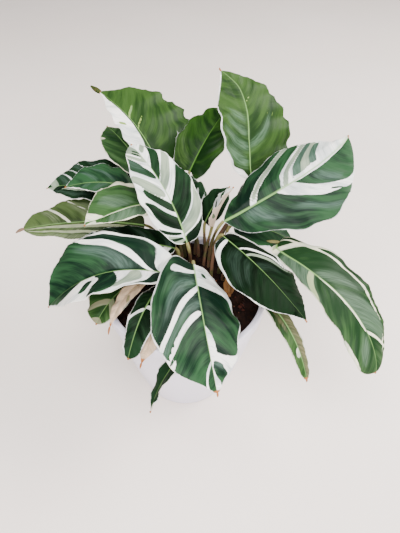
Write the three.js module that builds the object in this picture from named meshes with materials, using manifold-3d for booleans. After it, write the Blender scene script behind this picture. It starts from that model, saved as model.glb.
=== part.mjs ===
// Potted calathea: a round plastic pot filled with soil, and a clump of waved, striped leaves.
// Millimetres, +Z up. The origin is the centre of the pot's base, on the surface it stands on.
import * as THREE from 'three';
import * as BufferGeometryUtils from 'three/addons/utils/BufferGeometryUtils.js';
import Module from 'manifold-3d';

// ---- driving dimensions -------------------------------------------------------------------
const POT = {
  height: 118,
  rimRadius: 65,
  rimWidth: 4.5,
  rimRound: 1,
  lipHeight: 10,
  lipStep: 2,
  lipRound: 0.5,
  belly: 2,
  heelRadius: 42,
  heelHeight: 5,
  heelInset: 0.8,
  heelBend: 2,
  baseRadius: 38,
  wall: 3,
  floor: 4,
  floorCorner: 4,
  levels: 6,
  turns: 48,
};
const SOIL = { level: 112, crown: 1.5, clear: 0.6, holeClear: 0.5, holeSides: 10 };
const STALK = {
  footRadius: 1.7,
  neckRadius: 1.15,
  depth: 16,
  upright: 3,
  riseShare: 0.4,
  leadShare: 0.22,
  rings: 6,
};
const BLADE = {
  thickness: 0.8,
  columns: [-1, -0.55, 0, 0.55, 1],
  stationLength: 7.5,
  fewestStations: 7,
  mostStations: 14,
  lastStation: 0.975,
  fullness: 0.58,
  pointStart: 0.8,
  pointNarrowing: 0.5,
  waveShift: 0.3,
};
const TONES = { striped: 0x5f8c5c, dark: 0x2f5238, light: 0x8fb07c, dry: 0x9a7048 };
const UP = new THREE.Vector3(0, 0, 1);

// Every leaf is one row. widest: where along the blade it is widest, as a share. foot: where its
// stalk leaves the soil. base, tip: the ends of its blade. half: the widths of its left and right
// half, seen from the base. roll, twist: turn of the blade about its midrib, in degrees, and the
// change of that turn from base to tip. bow, sway: rise and side bend of the midrib. fold, curl:
// for each half, how far it lifts at the midrib and how far it bends back down to its edge, in
// degrees. wave: height, number and phase of the edge's waves.
const LEAVES = [
  {
    name: 'leaf_front', tone: 'striped', widest: 0.52, foot: [6, 12],
    base: [6, -6, 150], tip: [25, -94, 120], half: [27, 39],
    roll: -8, twist: 0, bow: 9, sway: 5, fold: [-5, 25], curl: [20, 25], wave: [1.5, 4, 0.1],
  },
  {
    name: 'leaf_front_left', tone: 'striped', widest: 0.5, foot: [-3, 15],
    base: [-17, -15, 150], tip: [-99, -35, 130], half: [28, 34],
    roll: 0, twist: 0, bow: 14, sway: 4, fold: [20, 25], curl: [10, 15], wave: [1.5, 4, 0.3],
  },
  {
    name: 'leaf_front_right', tone: 'dark', widest: 0.46, foot: [20, 9],
    base: [28, 14, 162], tip: [86, -48, 140], half: [21, 31],
    roll: 0, twist: 0, bow: 8, sway: 0, fold: [0, 10], curl: [20, 20], wave: [1.2, 4, 0.6],
  },
  {
    name: 'leaf_right_drooping', tone: 'light', widest: 0.52, foot: [27, 22],
    base: [73, 22, 150], tip: [143, -62, 100], half: [24, 20],
    roll: 0, twist: 0, bow: 20, sway: -5, fold: [5, 0], curl: [20, 20], wave: [1.5, 4, 0.2],
  },
  {
    name: 'leaf_right_large', tone: 'striped', widest: 0.58, foot: [18, 30],
    base: [28, 29, 164], tip: [122, 76, 215], half: [26, 49],
    roll: 0, twist: 0, bow: 6, sway: 0, fold: [0, -25], curl: [10, 15], wave: [1.8, 4, 0.0],
  },
  {
    name: 'leaf_right_under', tone: 'dark', widest: 0.43, foot: [30, 31],
    base: [46, 46, 146], tip: [91, 42, 134], half: [16, 16],
    roll: 0, twist: 0, bow: 5, sway: 0, fold: [10, 10], curl: [15, 15], wave: [1, 3, 0.4],
  },
  {
    name: 'leaf_top_right', tone: 'striped', widest: 0.38, foot: [20, 39],
    base: [54, 80, 172], tip: [22, 127, 242], half: [23, 42],
    roll: 0, twist: 0, bow: 6, sway: 4, fold: [0, 10], curl: [15, 15], wave: [1.5, 5, 0.2],
  },
  {
    name: 'leaf_top_left', tone: 'striped', widest: 0.33, foot: [2, 36],
    base: [-27, 97, 171], tip: [-83, 141, 215], half: [17, 47],
    roll: 0, twist: 0, bow: 6, sway: 5, fold: [0, 10], curl: [15, 15], wave: [1.5, 5, 0.7],
  },
  {
    name: 'leaf_back_left_small', tone: 'dark', widest: 0.43, foot: [-3, 41],
    base: [-42, 100, 159], tip: [-84, 154, 176], half: [22, 14],
    roll: 0, twist: 0, bow: 5, sway: 0, fold: [10, 10], curl: [15, 15], wave: [1, 4, 0.5],
  },
  {
    name: 'leaf_left_high', tone: 'dark', widest: 0.43, foot: [-9, 32],
    base: [-46, 82, 152], tip: [-103, 62, 168], half: [16, 25],
    roll: 0, twist: 0, bow: 7, sway: 0, fold: [10, 15], curl: [15, 15], wave: [1, 4, 0.1],
  },
  {
    name: 'leaf_striped_upright', tone: 'striped', widest: 0.43, foot: [3, 22],
    base: [0, 16, 152], tip: [-47, 74, 202], half: [24, 25],
    roll: 0, twist: 0, bow: 6, sway: 3, fold: [10, 10], curl: [15, 15], wave: [1.5, 4, 0.8],
  },
  {
    name: 'leaf_left_light', tone: 'light', widest: 0.43, foot: [-4, 26],
    base: [-23, 57, 160], tip: [-75, 9, 172], half: [13, 23],
    roll: 0, twist: 0, bow: 9, sway: 0, fold: [0, 20], curl: [15, 15], wave: [1, 4, 0.2],
  },
  {
    name: 'leaf_back_left_striped', tone: 'striped', widest: 0.43, foot: [-10, 38],
    base: [-50, 90, 140], tip: [-132, 92, 145], half: [24, 34],
    roll: 0, twist: 0, bow: 8, sway: 0, fold: [10, 20], curl: [15, 15], wave: [1.2, 4, 0.2],
  },
  {
    name: 'leaf_left_pale', tone: 'light', widest: 0.43, foot: [-12, 28],
    base: [-40, 62, 130], tip: [-142, 45, 135], half: [13, 28],
    roll: 0, twist: 0, bow: 6, sway: 0, fold: [10, 20], curl: [15, 15], wave: [1, 4, 0.2],
  },
  {
    name: 'leaf_left_dark', tone: 'dark', widest: 0.43, foot: [-8, 18],
    base: [-10, 22, 140], tip: [-94, 30, 136], half: [18, 18],
    roll: 0, twist: 0, bow: 5, sway: 0, fold: [10, 10], curl: [15, 15], wave: [1, 4, 0.2],
  },
  {
    name: 'leaf_front_left_low', tone: 'striped', widest: 0.43, foot: [-10, 10],
    base: [-44, -7, 126], tip: [-65, -40, 118], half: [14, 20],
    roll: 0, twist: 0, bow: 6, sway: 0, fold: [10, 10], curl: [15, 15], wave: [1, 3, 0.2],
  },
  {
    name: 'leaf_front_left_narrow', tone: 'light', widest: 0.43, foot: [-4, 8],
    base: [-18, -4, 139], tip: [-53, -47, 124], half: [8, 8],
    roll: 0, twist: 0, bow: 6, sway: 0, fold: [10, 10], curl: [15, 15], wave: [1, 3, 0.2],
  },
  {
    name: 'leaf_rim_left', tone: 'dark', widest: 0.43, foot: [0, 4],
    base: [-20, -11, 129], tip: [-38, -66, 113], half: [13, 9],
    roll: 0, twist: 0, bow: 11, sway: 0, fold: [10, 10], curl: [15, 15], wave: [1, 3, 0.2],
  },
  {
    name: 'leaf_rim_left_lower', tone: 'light', widest: 0.43, foot: [5, 2],
    base: [-11, -19, 120], tip: [-28, -70, 114], half: [9, 9],
    roll: 0, twist: 0, bow: 6, sway: 0, fold: [10, 10], curl: [15, 15], wave: [0.8, 3, 0.2],
  },
  {
    name: 'leaf_rim_front_narrow', tone: 'striped', widest: 0.43, foot: [11, 4],
    base: [16, -56, 130], tip: [-20, -96, 95], half: [8, 8],
    roll: 35, twist: 0, bow: 7, sway: 0, fold: [20, 20], curl: [15, 15], wave: [0.8, 3, 0.2],
  },
  {
    name: 'leaf_rim_right', tone: 'striped', widest: 0.43, foot: [30, 15],
    base: [58, -14, 128], tip: [91, -70, 100], half: [6, 9],
    roll: 0, twist: 0, bow: 8, sway: -3, fold: [10, 10], curl: [15, 15], wave: [0.8, 3, 0.2],
  },
  {
    name: 'leaf_top_centre', tone: 'dark', widest: 0.43, foot: [9, 41],
    base: [-1, 86, 172], tip: [29, 133, 206], half: [26, 20],
    roll: 0, twist: 0, bow: 4, sway: 0, fold: [10, 10], curl: [15, 15], wave: [1, 3, 0.2],
  },
  {
    name: 'leaf_centre_small', tone: 'dark', widest: 0.43, foot: [15, 41],
    base: [14, 57, 140], tip: [33, 70, 168], half: [14, 14],
    roll: 0, twist: 0, bow: 3, sway: 0, fold: [10, 10], curl: [15, 15], wave: [0.8, 3, 0.2],
  },
  {
    name: 'leaf_back_right', tone: 'striped', widest: 0.43, foot: [30, 38],
    base: [52, 60, 129], tip: [128, 100, 130], half: [20, 20],
    roll: 0, twist: 0, bow: 8, sway: 0, fold: [10, 10], curl: [20, 20], wave: [1.2, 4, 0.3],
  },
  {
    name: 'leaf_back_middle', tone: 'striped', widest: 0.43, foot: [25, 44],
    base: [46, 82, 140], tip: [98, 142, 142], half: [16, 16],
    roll: 0, twist: 0, bow: 8, sway: 0, fold: [10, 10], curl: [20, 20], wave: [1.2, 4, 0.6],
  },
  {
    name: 'leaf_back_left', tone: 'striped', widest: 0.43, foot: [6, 45],
    base: [6, 68, 138], tip: [-20, 130, 138], half: [19, 19],
    roll: 0, twist: 0, bow: 8, sway: 0, fold: [10, 10], curl: [20, 20], wave: [1.2, 4, 0.9],
  },
  {
    name: 'leaf_centre_striped', tone: 'light', widest: 0.43, foot: [14, 31],
    base: [20, 45, 146], tip: [34, 43, 186], half: [9, 9],
    roll: 0, twist: 0, bow: 2, sway: 0, fold: [40, 40], curl: [20, 20], wave: [0.5, 2, 0.2],
  },
  {
    name: 'sheath_dry', tone: 'dry', widest: 0.43, foot: [35, -4],
    base: [35, -3, 116], tip: [35, 6, 127], half: [4, 4],
    roll: 0, twist: 20, bow: -2, sway: 0, fold: [30, 30], curl: [10, 10], wave: [0.5, 2, 0.2],
  },
];

const wasm = await Module();
wasm.setup();

// ---- joining and cutting ------------------------------------------------------------------
function toSolid(geometry) {
  const bare = geometry.clone();
  bare.deleteAttribute('normal');
  bare.deleteAttribute('uv');
  const merged = BufferGeometryUtils.mergeVertices(bare);
  return new wasm.Manifold(new wasm.Mesh({
    numProp: 3,
    vertProperties: new Float32Array(merged.attributes.position.array),
    triVerts: new Uint32Array(merged.index.array),
  }));
}

function fromSolid(solid) {
  const mesh = solid.getMesh();
  const geometry = new THREE.BufferGeometry();
  geometry.setAttribute('position', new THREE.BufferAttribute(mesh.vertProperties, 3));
  geometry.setIndex(new THREE.BufferAttribute(mesh.triVerts, 1));
  return geometry;
}

// ---- the pot and its soil -----------------------------------------------------------------
// Radius of the pot's outer wall below the lip: a straight taper with a slight belly.
function wallRadius(z) {
  const top = POT.height - POT.lipHeight;
  const share = (z - POT.heelHeight) / (top - POT.heelHeight);
  const straight = THREE.MathUtils.lerp(POT.heelRadius, POT.rimRadius - POT.lipStep, share);
  return straight + POT.belly * Math.sin(Math.PI * share);
}

function innerRadius(z) {
  return Math.min(wallRadius(z) - POT.wall, POT.rimRadius - POT.rimWidth);
}

// Heights from low to high at which the wall's profile has a point.
function wallLevels(low, high) {
  const steps = POT.levels - 1;
  return Array.from({ length: POT.levels }, (_, i) => THREE.MathUtils.lerp(low, high, i / steps));
}

function lathe(profile) {
  const points = profile.map(([radius, z]) => new THREE.Vector2(radius, z));
  return new THREE.LatheGeometry(points, POT.turns).rotateX(Math.PI / 2);
}

function potGeometry() {
  const top = POT.height - POT.lipHeight;
  const corner = POT.floor + POT.floorCorner;
  const rimInner = POT.rimRadius - POT.rimWidth;
  const outside = wallLevels(POT.heelHeight, top).map((z) => [wallRadius(z), z]);
  const inside = wallLevels(corner, top).reverse().map((z) => [innerRadius(z), z]);
  return lathe([
    [0, 0],
    [POT.baseRadius, 0],
    [POT.heelRadius - POT.heelInset, POT.heelBend],
    ...outside,
    [POT.rimRadius - POT.lipRound, top],
    [POT.rimRadius, POT.height - POT.rimRound],
    [POT.rimRadius - POT.rimRound, POT.height],
    [rimInner + POT.rimRound, POT.height],
    [rimInner, POT.height - POT.rimRound],
    ...inside,
    [innerRadius(corner) - POT.floorCorner, POT.floor],
    [0, POT.floor],
  ]);
}

function soilGeometry(leaves) {
  const corner = POT.floor + POT.floorCorner;
  const low = POT.floor + SOIL.clear;
  const side = wallLevels(corner, POT.height - POT.lipHeight).map((z) => [innerRadius(z) - SOIL.clear, z]);
  const edge = innerRadius(SOIL.level) - SOIL.clear;
  let soil = toSolid(lathe([
    [0, low],
    [innerRadius(corner) - POT.floorCorner - SOIL.clear, low],
    ...side,
    [edge, SOIL.level],
    [edge / 2, SOIL.level + SOIL.crown],
    [0, SOIL.level + SOIL.crown],
  ]));
  const radius = STALK.footRadius + SOIL.holeClear;
  const length = 2 * STALK.depth;
  for (const leaf of leaves) {
    const hole = new THREE.CylinderGeometry(radius, radius, length, SOIL.holeSides);
    hole.rotateX(Math.PI / 2);
    hole.translate(leaf.foot[0], leaf.foot[1], SOIL.level - STALK.depth - SOIL.holeClear + length / 2);
    soil = soil.subtract(toSolid(hole));
  }
  return fromSolid(soil);
}

// ---- a leaf: stalk and blade in one body --------------------------------------------------
// Share of the full half width at a place along the blade: a round base, full at its widest
// place, drawn out to a point.
function widthShare(along, widest) {
  const swell = along ** (Math.log(0.5) / Math.log(widest));
  const oval = Math.sin(Math.PI * swell) ** BLADE.fullness;
  return oval * (1 - BLADE.pointNarrowing * THREE.MathUtils.smoothstep(along, BLADE.pointStart, 1));
}

function chordOf(leaf) {
  return new THREE.Vector3(...leaf.tip).sub(new THREE.Vector3(...leaf.base));
}

// The upward direction square to a chord, turned about it by an angle.
function faceUp(chord, degrees) {
  const up = UP.clone().addScaledVector(chord, -UP.dot(chord)).normalize();
  return up.applyAxisAngle(chord, THREE.MathUtils.degToRad(degrees));
}

function midrib(leaf, along) {
  const chord = chordOf(leaf).normalize();
  const up = faceUp(chord, leaf.roll);
  const right = chord.clone().cross(up);
  const swell = 4 * along * (1 - along);
  return new THREE.Vector3(...leaf.base).addScaledVector(chordOf(leaf), along)
    .addScaledVector(up, leaf.bow * swell)
    .addScaledVector(right, leaf.sway * swell);
}

// The midrib's place, direction, face normal and right-hand side.
function bladeFrame(leaf, along) {
  const step = 0.001;
  const at = midrib(leaf, along);
  const ahead = midrib(leaf, along + step).sub(midrib(leaf, along - step)).normalize();
  const up = faceUp(chordOf(leaf).normalize(), leaf.roll + leaf.twist * (along - 0.5));
  up.addScaledVector(ahead, -up.dot(ahead)).normalize();
  return { at, ahead, up, right: ahead.clone().cross(up) };
}

// One point of the blade and the normal of its section there. across runs from -1 at the left
// edge to 1 at the right edge, and each half is an arc that starts at its fold angle.
function bladePoint(leaf, along, across) {
  const frame = bladeFrame(leaf, along);
  const half = across < 0 ? 0 : 1;
  const side = across < 0 ? -1 : 1;
  const reach = Math.abs(across);
  const width = leaf.half[half] * widthShare(along, leaf.widest);
  const fold = THREE.MathUtils.degToRad(leaf.fold[half]);
  const curl = THREE.MathUtils.degToRad(leaf.curl[half]);
  const slope = fold - curl * reach;
  const out = width * (Math.sin(fold) - Math.sin(slope)) / curl;
  const lift = width * (Math.cos(slope) - Math.cos(fold)) / curl;
  const [height, count, phase] = leaf.wave;
  const swing = Math.sin(2 * Math.PI * (count * along + phase + BLADE.waveShift * half));
  const wave = height * swing * reach ** 2 * Math.sqrt(Math.sin(Math.PI * along));
  const point = frame.at.clone().addScaledVector(frame.right, side * out)
    .addScaledVector(frame.up, lift + wave);
  const normal = frame.up.clone().multiplyScalar(Math.cos(slope))
    .addScaledVector(frame.right, -side * Math.sin(slope));
  return { point, normal };
}

// The stalk's middle line: straight up out of the soil, then over to the blade.
function stalkPath(leaf) {
  const [x, y] = leaf.foot;
  const start = new THREE.Vector3(x, y, SOIL.level - STALK.depth);
  const lip = new THREE.Vector3(x, y, SOIL.level + STALK.upright);
  const { at, ahead } = bladeFrame(leaf, 0);
  const gap = at.distanceTo(lip);
  const rise = lip.clone().addScaledVector(UP, gap * STALK.riseShare);
  const lead = at.clone().addScaledVector(ahead, -gap * STALK.leadShare);
  return [start, ...new THREE.CubicBezierCurve3(lip, rise, lead, at).getPoints(STALK.rings)];
}

// Round rings of points up the stalk, each one's upward side carried down from the blade's. The
// first half of a ring is its upper row from left to right, the other half its lower row.
function stalkRings(leaf) {
  const path = stalkPath(leaf);
  const last = path.length - 1;
  const row = BLADE.columns.length;
  let up = bladeFrame(leaf, 0).up;
  const rings = [];
  for (let i = last; i >= 0; i -= 1) {
    const ahead = path[Math.min(i + 1, last)].clone().sub(path[Math.max(i - 1, 0)]).normalize();
    up = up.clone().addScaledVector(ahead, -up.dot(ahead)).normalize();
    const right = ahead.clone().cross(up);
    const radius = THREE.MathUtils.lerp(STALK.footRadius, STALK.neckRadius, i / last);
    const ring = [];
    for (let k = 0; k < 2 * row; k += 1) {
      const angle = Math.PI * (1 - (k + 0.5) / row);
      ring.push(path[i].clone().addScaledVector(right, radius * Math.cos(angle))
        .addScaledVector(up, radius * Math.sin(angle)));
    }
    rings.unshift(ring);
  }
  return rings;
}

// Flat rings along the blade, in the same order of points.
function bladeRings(leaf) {
  const wanted = Math.round(chordOf(leaf).length() / BLADE.stationLength);
  const stations = THREE.MathUtils.clamp(wanted, BLADE.fewestStations, BLADE.mostStations);
  const lifted = ({ point, normal }, height) => point.clone().addScaledVector(normal, height);
  const rings = [];
  for (let i = 1; i <= stations; i += 1) {
    const along = BLADE.lastStation * i / stations;
    const row = BLADE.columns.map((across) => bladePoint(leaf, along, across));
    const upper = row.map((spot) => lifted(spot, BLADE.thickness / 2));
    const lower = row.reverse().map((spot) => lifted(spot, -BLADE.thickness / 2));
    rings.push([...upper, ...lower]);
  }
  return rings;
}

// A skin over the rings. The lower row's squares are split like the upper row's above them.
function leafGeometry(leaf) {
  const rings = [...stalkRings(leaf), ...bladeRings(leaf)];
  const size = rings[0].length;
  const points = rings.flat();
  const faces = [];
  for (let r = 0; r + 1 < rings.length; r += 1) {
    for (let k = 0; k < size; k += 1) {
      const a = r * size + k;
      const b = r * size + (k + 1) % size;
      const c = a + size;
      const d = b + size;
      if (k < size / 2) {
        faces.push(a, b, c, b, d, c);
      } else {
        faces.push(a, b, d, a, d, c);
      }
    }
  }
  const foot = points.length;
  const end = foot + 1;
  const last = foot - size;
  points.push(new THREE.Vector3(leaf.foot[0], leaf.foot[1], SOIL.level - STALK.depth), midrib(leaf, 1));
  for (let k = 0; k < size; k += 1) {
    const next = (k + 1) % size;
    faces.push(foot, next, k);
    faces.push(end, last + k, last + next);
  }
  const geometry = new THREE.BufferGeometry().setFromPoints(points);
  geometry.setIndex(faces);
  return geometry;
}

// ---- assembly -----------------------------------------------------------------------------
function part(name, geometry, color, roughness) {
  const mesh = new THREE.Mesh(geometry, new THREE.MeshStandardMaterial({ color, roughness, metalness: 0 }));
  mesh.name = name;
  return mesh;
}

const plant = new THREE.Group();
plant.add(part('pot', potGeometry(), 0xe6e4ee, 0.3));
plant.add(part('soil', soilGeometry(LEAVES), 0x2b1a14, 0.95));
for (const leaf of LEAVES) {
  plant.add(part(leaf.name, leafGeometry(leaf), TONES[leaf.tone], 0.45));
}

export default plant;
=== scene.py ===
"""A potted calathea: fine leaves, stalks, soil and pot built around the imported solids."""

import logging
import math
import random
from dataclasses import dataclass, field
from enum import Enum
from typing import Optional, Sequence

import bpy
import numpy as np
from bpy.types import Material, Node, NodeSocket, NodeTree, Object
from mathutils import Euler, Matrix, Vector


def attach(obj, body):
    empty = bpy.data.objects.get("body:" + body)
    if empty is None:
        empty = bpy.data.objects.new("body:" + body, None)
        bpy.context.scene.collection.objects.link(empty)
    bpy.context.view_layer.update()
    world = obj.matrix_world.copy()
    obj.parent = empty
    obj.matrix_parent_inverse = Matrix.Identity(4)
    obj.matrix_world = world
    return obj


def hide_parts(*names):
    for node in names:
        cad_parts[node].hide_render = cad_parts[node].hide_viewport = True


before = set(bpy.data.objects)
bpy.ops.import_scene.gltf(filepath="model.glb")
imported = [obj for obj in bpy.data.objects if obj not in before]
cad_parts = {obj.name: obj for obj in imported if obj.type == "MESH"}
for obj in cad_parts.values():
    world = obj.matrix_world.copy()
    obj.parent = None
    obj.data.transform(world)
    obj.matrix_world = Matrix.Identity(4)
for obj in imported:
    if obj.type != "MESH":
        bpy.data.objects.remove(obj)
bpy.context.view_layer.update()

log = logging.getLogger("calathea")

MM = 0.001
UP = np.array([0.0, 0.0, 1.0])
FULL_TURN = 2 * math.pi
SOIL_LEVEL = 112.0
Array = np.ndarray
Pair = tuple[float, float]
Triple = tuple[float, float, float]
Colour = tuple[float, float, float]


# ---- small sums ----


def unit(vector: Array) -> Array:
    """Scales vectors in the last axis to a length of one."""
    return vector / np.linalg.norm(vector, axis=-1, keepdims=True)


def ramp(value: Array, low: float, high: float) -> Array:
    """A smooth step from 0 at low to 1 at high."""
    share = np.clip((value - low) / (high - low), 0.0, 1.0)
    return share * share * (3 - 2 * share)


def soft_min(first: Array, second: Array, rounding: float) -> Array:
    """The lesser of two fields with the corner between them rounded off.

    Args:
        first: One field.
        second: The other field.
        rounding: How far from the corner the rounding reaches, in the fields' unit.

    Returns:
        The blended field.
    """
    share = np.clip(0.5 + 0.5 * (second - first) / rounding, 0.0, 1.0)
    return second + (first - second) * share - rounding * share * (1 - share)


def turned(vector: Array, axis: Array, angle: Array) -> Array:
    """Turns a vector about a unit axis square to it, by one angle or by several.

    Args:
        vector: The vector, square to the axis.
        axis: The unit axis.
        angle: The angles in radians.

    Returns:
        One turned vector for each angle.
    """
    angle = np.asarray(angle)[..., None]
    return vector * np.cos(angle) + np.cross(axis, vector) * np.sin(angle)


class Ripple:
    """A smooth random line, the sum of a few sine waves with seeded phases."""

    def __init__(self, seed: int, waves: int = 5, lowest: float = 1.0) -> None:
        """Draws the waves.

        Args:
            seed: The seed of the draws.
            waves: How many waves are added up.
            lowest: How often the slowest wave repeats over one unit.
        """
        draw = random.Random(seed)
        self.terms = [(lowest * 1.6**k, draw.random(), 1.0 / (k + 1)) for k in range(waves)]
        self.scale = sum(weight for _, _, weight in self.terms)

    def at(self, place: Array) -> Array:
        """The line's height, between -1 and 1, at each place."""
        waves = (w * np.sin(FULL_TURN * (rate * place + phase)) for rate, phase, w in self.terms)
        return sum(waves) / self.scale


# ---- meshes ----


@dataclass
class Shape:
    """Points, faces and values per point of one piece, before it becomes a mesh."""

    points: list[Array] = field(default_factory=list)
    faces: list[tuple[int, ...]] = field(default_factory=list)
    values: dict[str, list[Array]] = field(default_factory=dict)
    count: int = 0

    def add_points(self, points: Array, **values: Array) -> int:
        """Adds points with their values.

        Args:
            points: Rows of x, y and z in metres.
            **values: One number for each point, by the value's name.

        Returns:
            The number of the first new point.
        """
        first = self.count
        self.points.append(points)
        self.count += len(points)
        for name, numbers in values.items():
            self.values.setdefault(name, []).append(np.broadcast_to(numbers, len(points)))
        return first

    def skin(self, first: int, rings: int, size: int) -> None:
        """Joins closed rings of points by squares.

        Args:
            first: The number of the first ring's first point.
            rings: How many rings there are.
            size: How many points a ring has.
        """
        for ring in range(rings - 1):
            for k in range(size):
                a = first + ring * size + k
                b = first + ring * size + (k + 1) % size
                self.faces.append((a, b, b + size, a + size))

    def fan(self, centre: int, first: int, size: int, outward: bool) -> None:
        """Closes a ring of points with triangles to one point.

        Args:
            centre: The number of the point in the middle.
            first: The number of the ring's first point.
            size: How many points the ring has.
            outward: True at the far end of the rings, False at the near end.
        """
        for k in range(size):
            a, b = first + k, first + (k + 1) % size
            self.faces.append((centre, a, b) if outward else (centre, b, a))

    def cap(
        self, point: Sequence[float], first: int, size: int, outward: bool, **values: float
    ) -> None:
        """Adds a point and closes a ring of points with triangles to it.

        Args:
            point: Where the point is, in metres.
            first: The number of the ring's first point.
            size: How many points the ring has.
            outward: True at the far end of the rings, False at the near end.
            **values: The point's values, by name.
        """
        self.fan(self.add_points(np.array([point]), **values), first, size, outward)

    def piece(self, name: str, sharp: Optional[float] = None) -> Object:
        """Makes the mesh object.

        Args:
            name: The piece's name.
            sharp: Edges bent by more than this many degrees stay crisp.

        Returns:
            The new object, linked to the scene.
        """
        mesh = bpy.data.meshes.new(name)
        mesh.from_pydata(np.concatenate(self.points).tolist(), [], self.faces)
        for value, parts in self.values.items():
            layer = mesh.attributes.new(value, "FLOAT", "POINT")
            layer.data.foreach_set("value", np.concatenate(parts).astype(np.float32))
        mesh.polygons.foreach_set("use_smooth", [True] * len(mesh.polygons))
        if sharp is not None:
            mesh.set_sharp_from_angle(angle=math.radians(sharp))
        mesh.validate()
        mesh.update()
        made = bpy.data.objects.new(name, mesh)
        bpy.context.scene.collection.objects.link(made)
        return made


def lathe_rings(profile: Sequence[Pair], turns: int) -> Array:
    """Rings of points about the upright axis.

    Args:
        profile: Radius and height of each ring in millimetres.
        turns: How many points go round.

    Returns:
        The points in metres, ring by ring, turning against the clock seen from above.
    """
    radius, height = np.array(profile).T[..., None]
    angle = FULL_TURN * np.arange(turns)[None, :] / turns
    rings = [radius * np.cos(angle), radius * np.sin(angle), height + 0 * angle]
    return np.stack(rings, axis=-1).reshape(-1, 3) * MM


def corner(start: Pair, bend: Pair, end: Pair, steps: int) -> list[Pair]:
    """A rounded corner of a profile.

    Args:
        start: Where it starts.
        bend: The point that it is pulled towards.
        end: Where it ends.
        steps: How many straight pieces it has.

    Returns:
        The corner's points, with both ends.
    """
    share = np.arange(steps + 1)[:, None] / steps
    pulls = ((1 - share) ** 2, start), (2 * share * (1 - share), bend), (share * share, end)
    return sum(pull * np.array(point) for pull, point in pulls).tolist()


# ---- shader parts ----


class Sheet:
    """A node tree with short ways to place and join nodes."""

    def __init__(self, tree: NodeTree) -> None:
        """Takes the tree that nodes are added to."""
        self.tree = tree

    def place(self, kind: str, **settings: object) -> Node:
        """Adds a node.

        Args:
            kind: The node's type.
            **settings: Its options, by name.

        Returns:
            The new node.
        """
        node = self.tree.nodes.new(kind)
        for name, value in settings.items():
            setattr(node, name, value)
        return node

    def join(self, source: object, target: NodeSocket) -> None:
        """Gives an input its value.

        Args:
            source: An output to link, or a plain value to set.
            target: The input.
        """
        if isinstance(source, NodeSocket):
            self.tree.links.new(source, target)
        else:
            target.default_value = source

    def value(self, name: str) -> NodeSocket:
        """The number that the mesh carries at each point under this name."""
        return self.place("ShaderNodeAttribute", attribute_name=name).outputs["Fac"]

    def sum(self, operation: str, *inputs: object, clamp: bool = False) -> NodeSocket:
        """A Math node's output.

        Args:
            operation: The Math node's operation.
            *inputs: Sockets or numbers, in order.
            clamp: Whether the result is kept between 0 and 1.

        Returns:
            The output socket.
        """
        node = self.place("ShaderNodeMath", operation=operation, use_clamp=clamp)
        for source, target in zip(inputs, node.inputs):
            self.join(source, target)
        return node.outputs[0]

    def step(self, value: object, low: object, high: object) -> NodeSocket:
        """A smooth step from 0 to 1.

        Args:
            value: The number that the step is taken of.
            low: Where it is still 0.
            high: Where it has reached 1.

        Returns:
            The step's output.
        """
        node = self.place("ShaderNodeMapRange", interpolation_type="SMOOTHSTEP")
        for source, name in ((value, "Value"), (low, "From Min"), (high, "From Max")):
            self.join(source, node.inputs[name])
        return node.outputs["Result"]

    def blend(self, share: object, first: object, second: object) -> NodeSocket:
        """Mixes two colours.

        Args:
            share: How much of the second colour there is, from 0 to 1.
            first: A socket, or a plain colour as three numbers.
            second: The same.

        Returns:
            The mixed colour.
        """
        node = self.place("ShaderNodeMix", data_type="RGBA")
        for source, number in ((share, 0), (first, 6), (second, 7)):
            plain = isinstance(source, tuple)
            self.join((*source, 1.0) if plain else source, node.inputs[number])
        return node.outputs[2]

    def point(self, x: object, y: object, z: object) -> NodeSocket:
        """Makes a vector of three numbers or sockets.

        Args:
            x: Its first part.
            y: Its second part.
            z: Its third part.

        Returns:
            The vector.
        """
        node = self.place("ShaderNodeCombineXYZ")
        for source, target in zip((x, y, z), node.inputs):
            self.join(source, target)
        return node.outputs[0]

    def noise(self, where: object, scale: object, detail: float = 2.0) -> NodeSocket:
        """A noise texture.

        Args:
            where: The vector that it is read at.
            scale: How many of its grains there are over one unit.
            detail: How many finer layers it has.

        Returns:
            The texture's strength.
        """
        node = self.place("ShaderNodeTexNoise")
        node.inputs["Detail"].default_value = detail
        self.join(where, node.inputs["Vector"])
        self.join(scale, node.inputs["Scale"])
        return node.outputs["Fac"]

    def use(self, group: NodeTree, **inputs: object) -> Node:
        """Places a node group.

        Args:
            group: The group.
            **inputs: Sockets or numbers by the inputs' names, with underscores for spaces.

        Returns:
            The group's node.
        """
        node = self.place("ShaderNodeGroup", node_tree=group)
        for name, source in inputs.items():
            self.join(source, node.inputs[name.replace("_", " ")])
        return node

    def gloss(
        self, colour: object, rough: object, height: object, strength: float, depth: float,
        level: float,
    ) -> NodeSocket:
        """Places a glossy shader with fine relief.

        Args:
            colour: Its colour.
            rough: Its roughness.
            height: The relief's height.
            strength: The relief's strength.
            depth: The relief's depth in millimetres.
            level: How much it mirrors.

        Returns:
            The shader's output.
        """
        bump = self.place("ShaderNodeBump")
        bump.inputs["Strength"].default_value = strength
        bump.inputs["Distance"].default_value = depth * MM
        self.join(height, bump.inputs["Height"])
        shader = self.place("ShaderNodeBsdfPrincipled")
        shader.inputs["Specular IOR Level"].default_value = level
        self.join(colour, shader.inputs["Base Color"])
        self.join(rough, shader.inputs["Roughness"])
        self.join(bump.outputs["Normal"], shader.inputs["Normal"])
        return shader.outputs["BSDF"]

    def show(self, shader: NodeSocket) -> None:
        """Makes a shader the surface of the material."""
        self.join(shader, self.place("ShaderNodeOutputMaterial").inputs["Surface"])


def blank_material(name: str) -> tuple[Material, Sheet]:
    """Makes a material with nothing in it.

    Args:
        name: The material's name.

    Returns:
        The material and its nodes' sheet.
    """
    material = bpy.data.materials.new(name)
    material.use_nodes = True
    material.node_tree.nodes.clear()
    return material, Sheet(material.node_tree)


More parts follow.
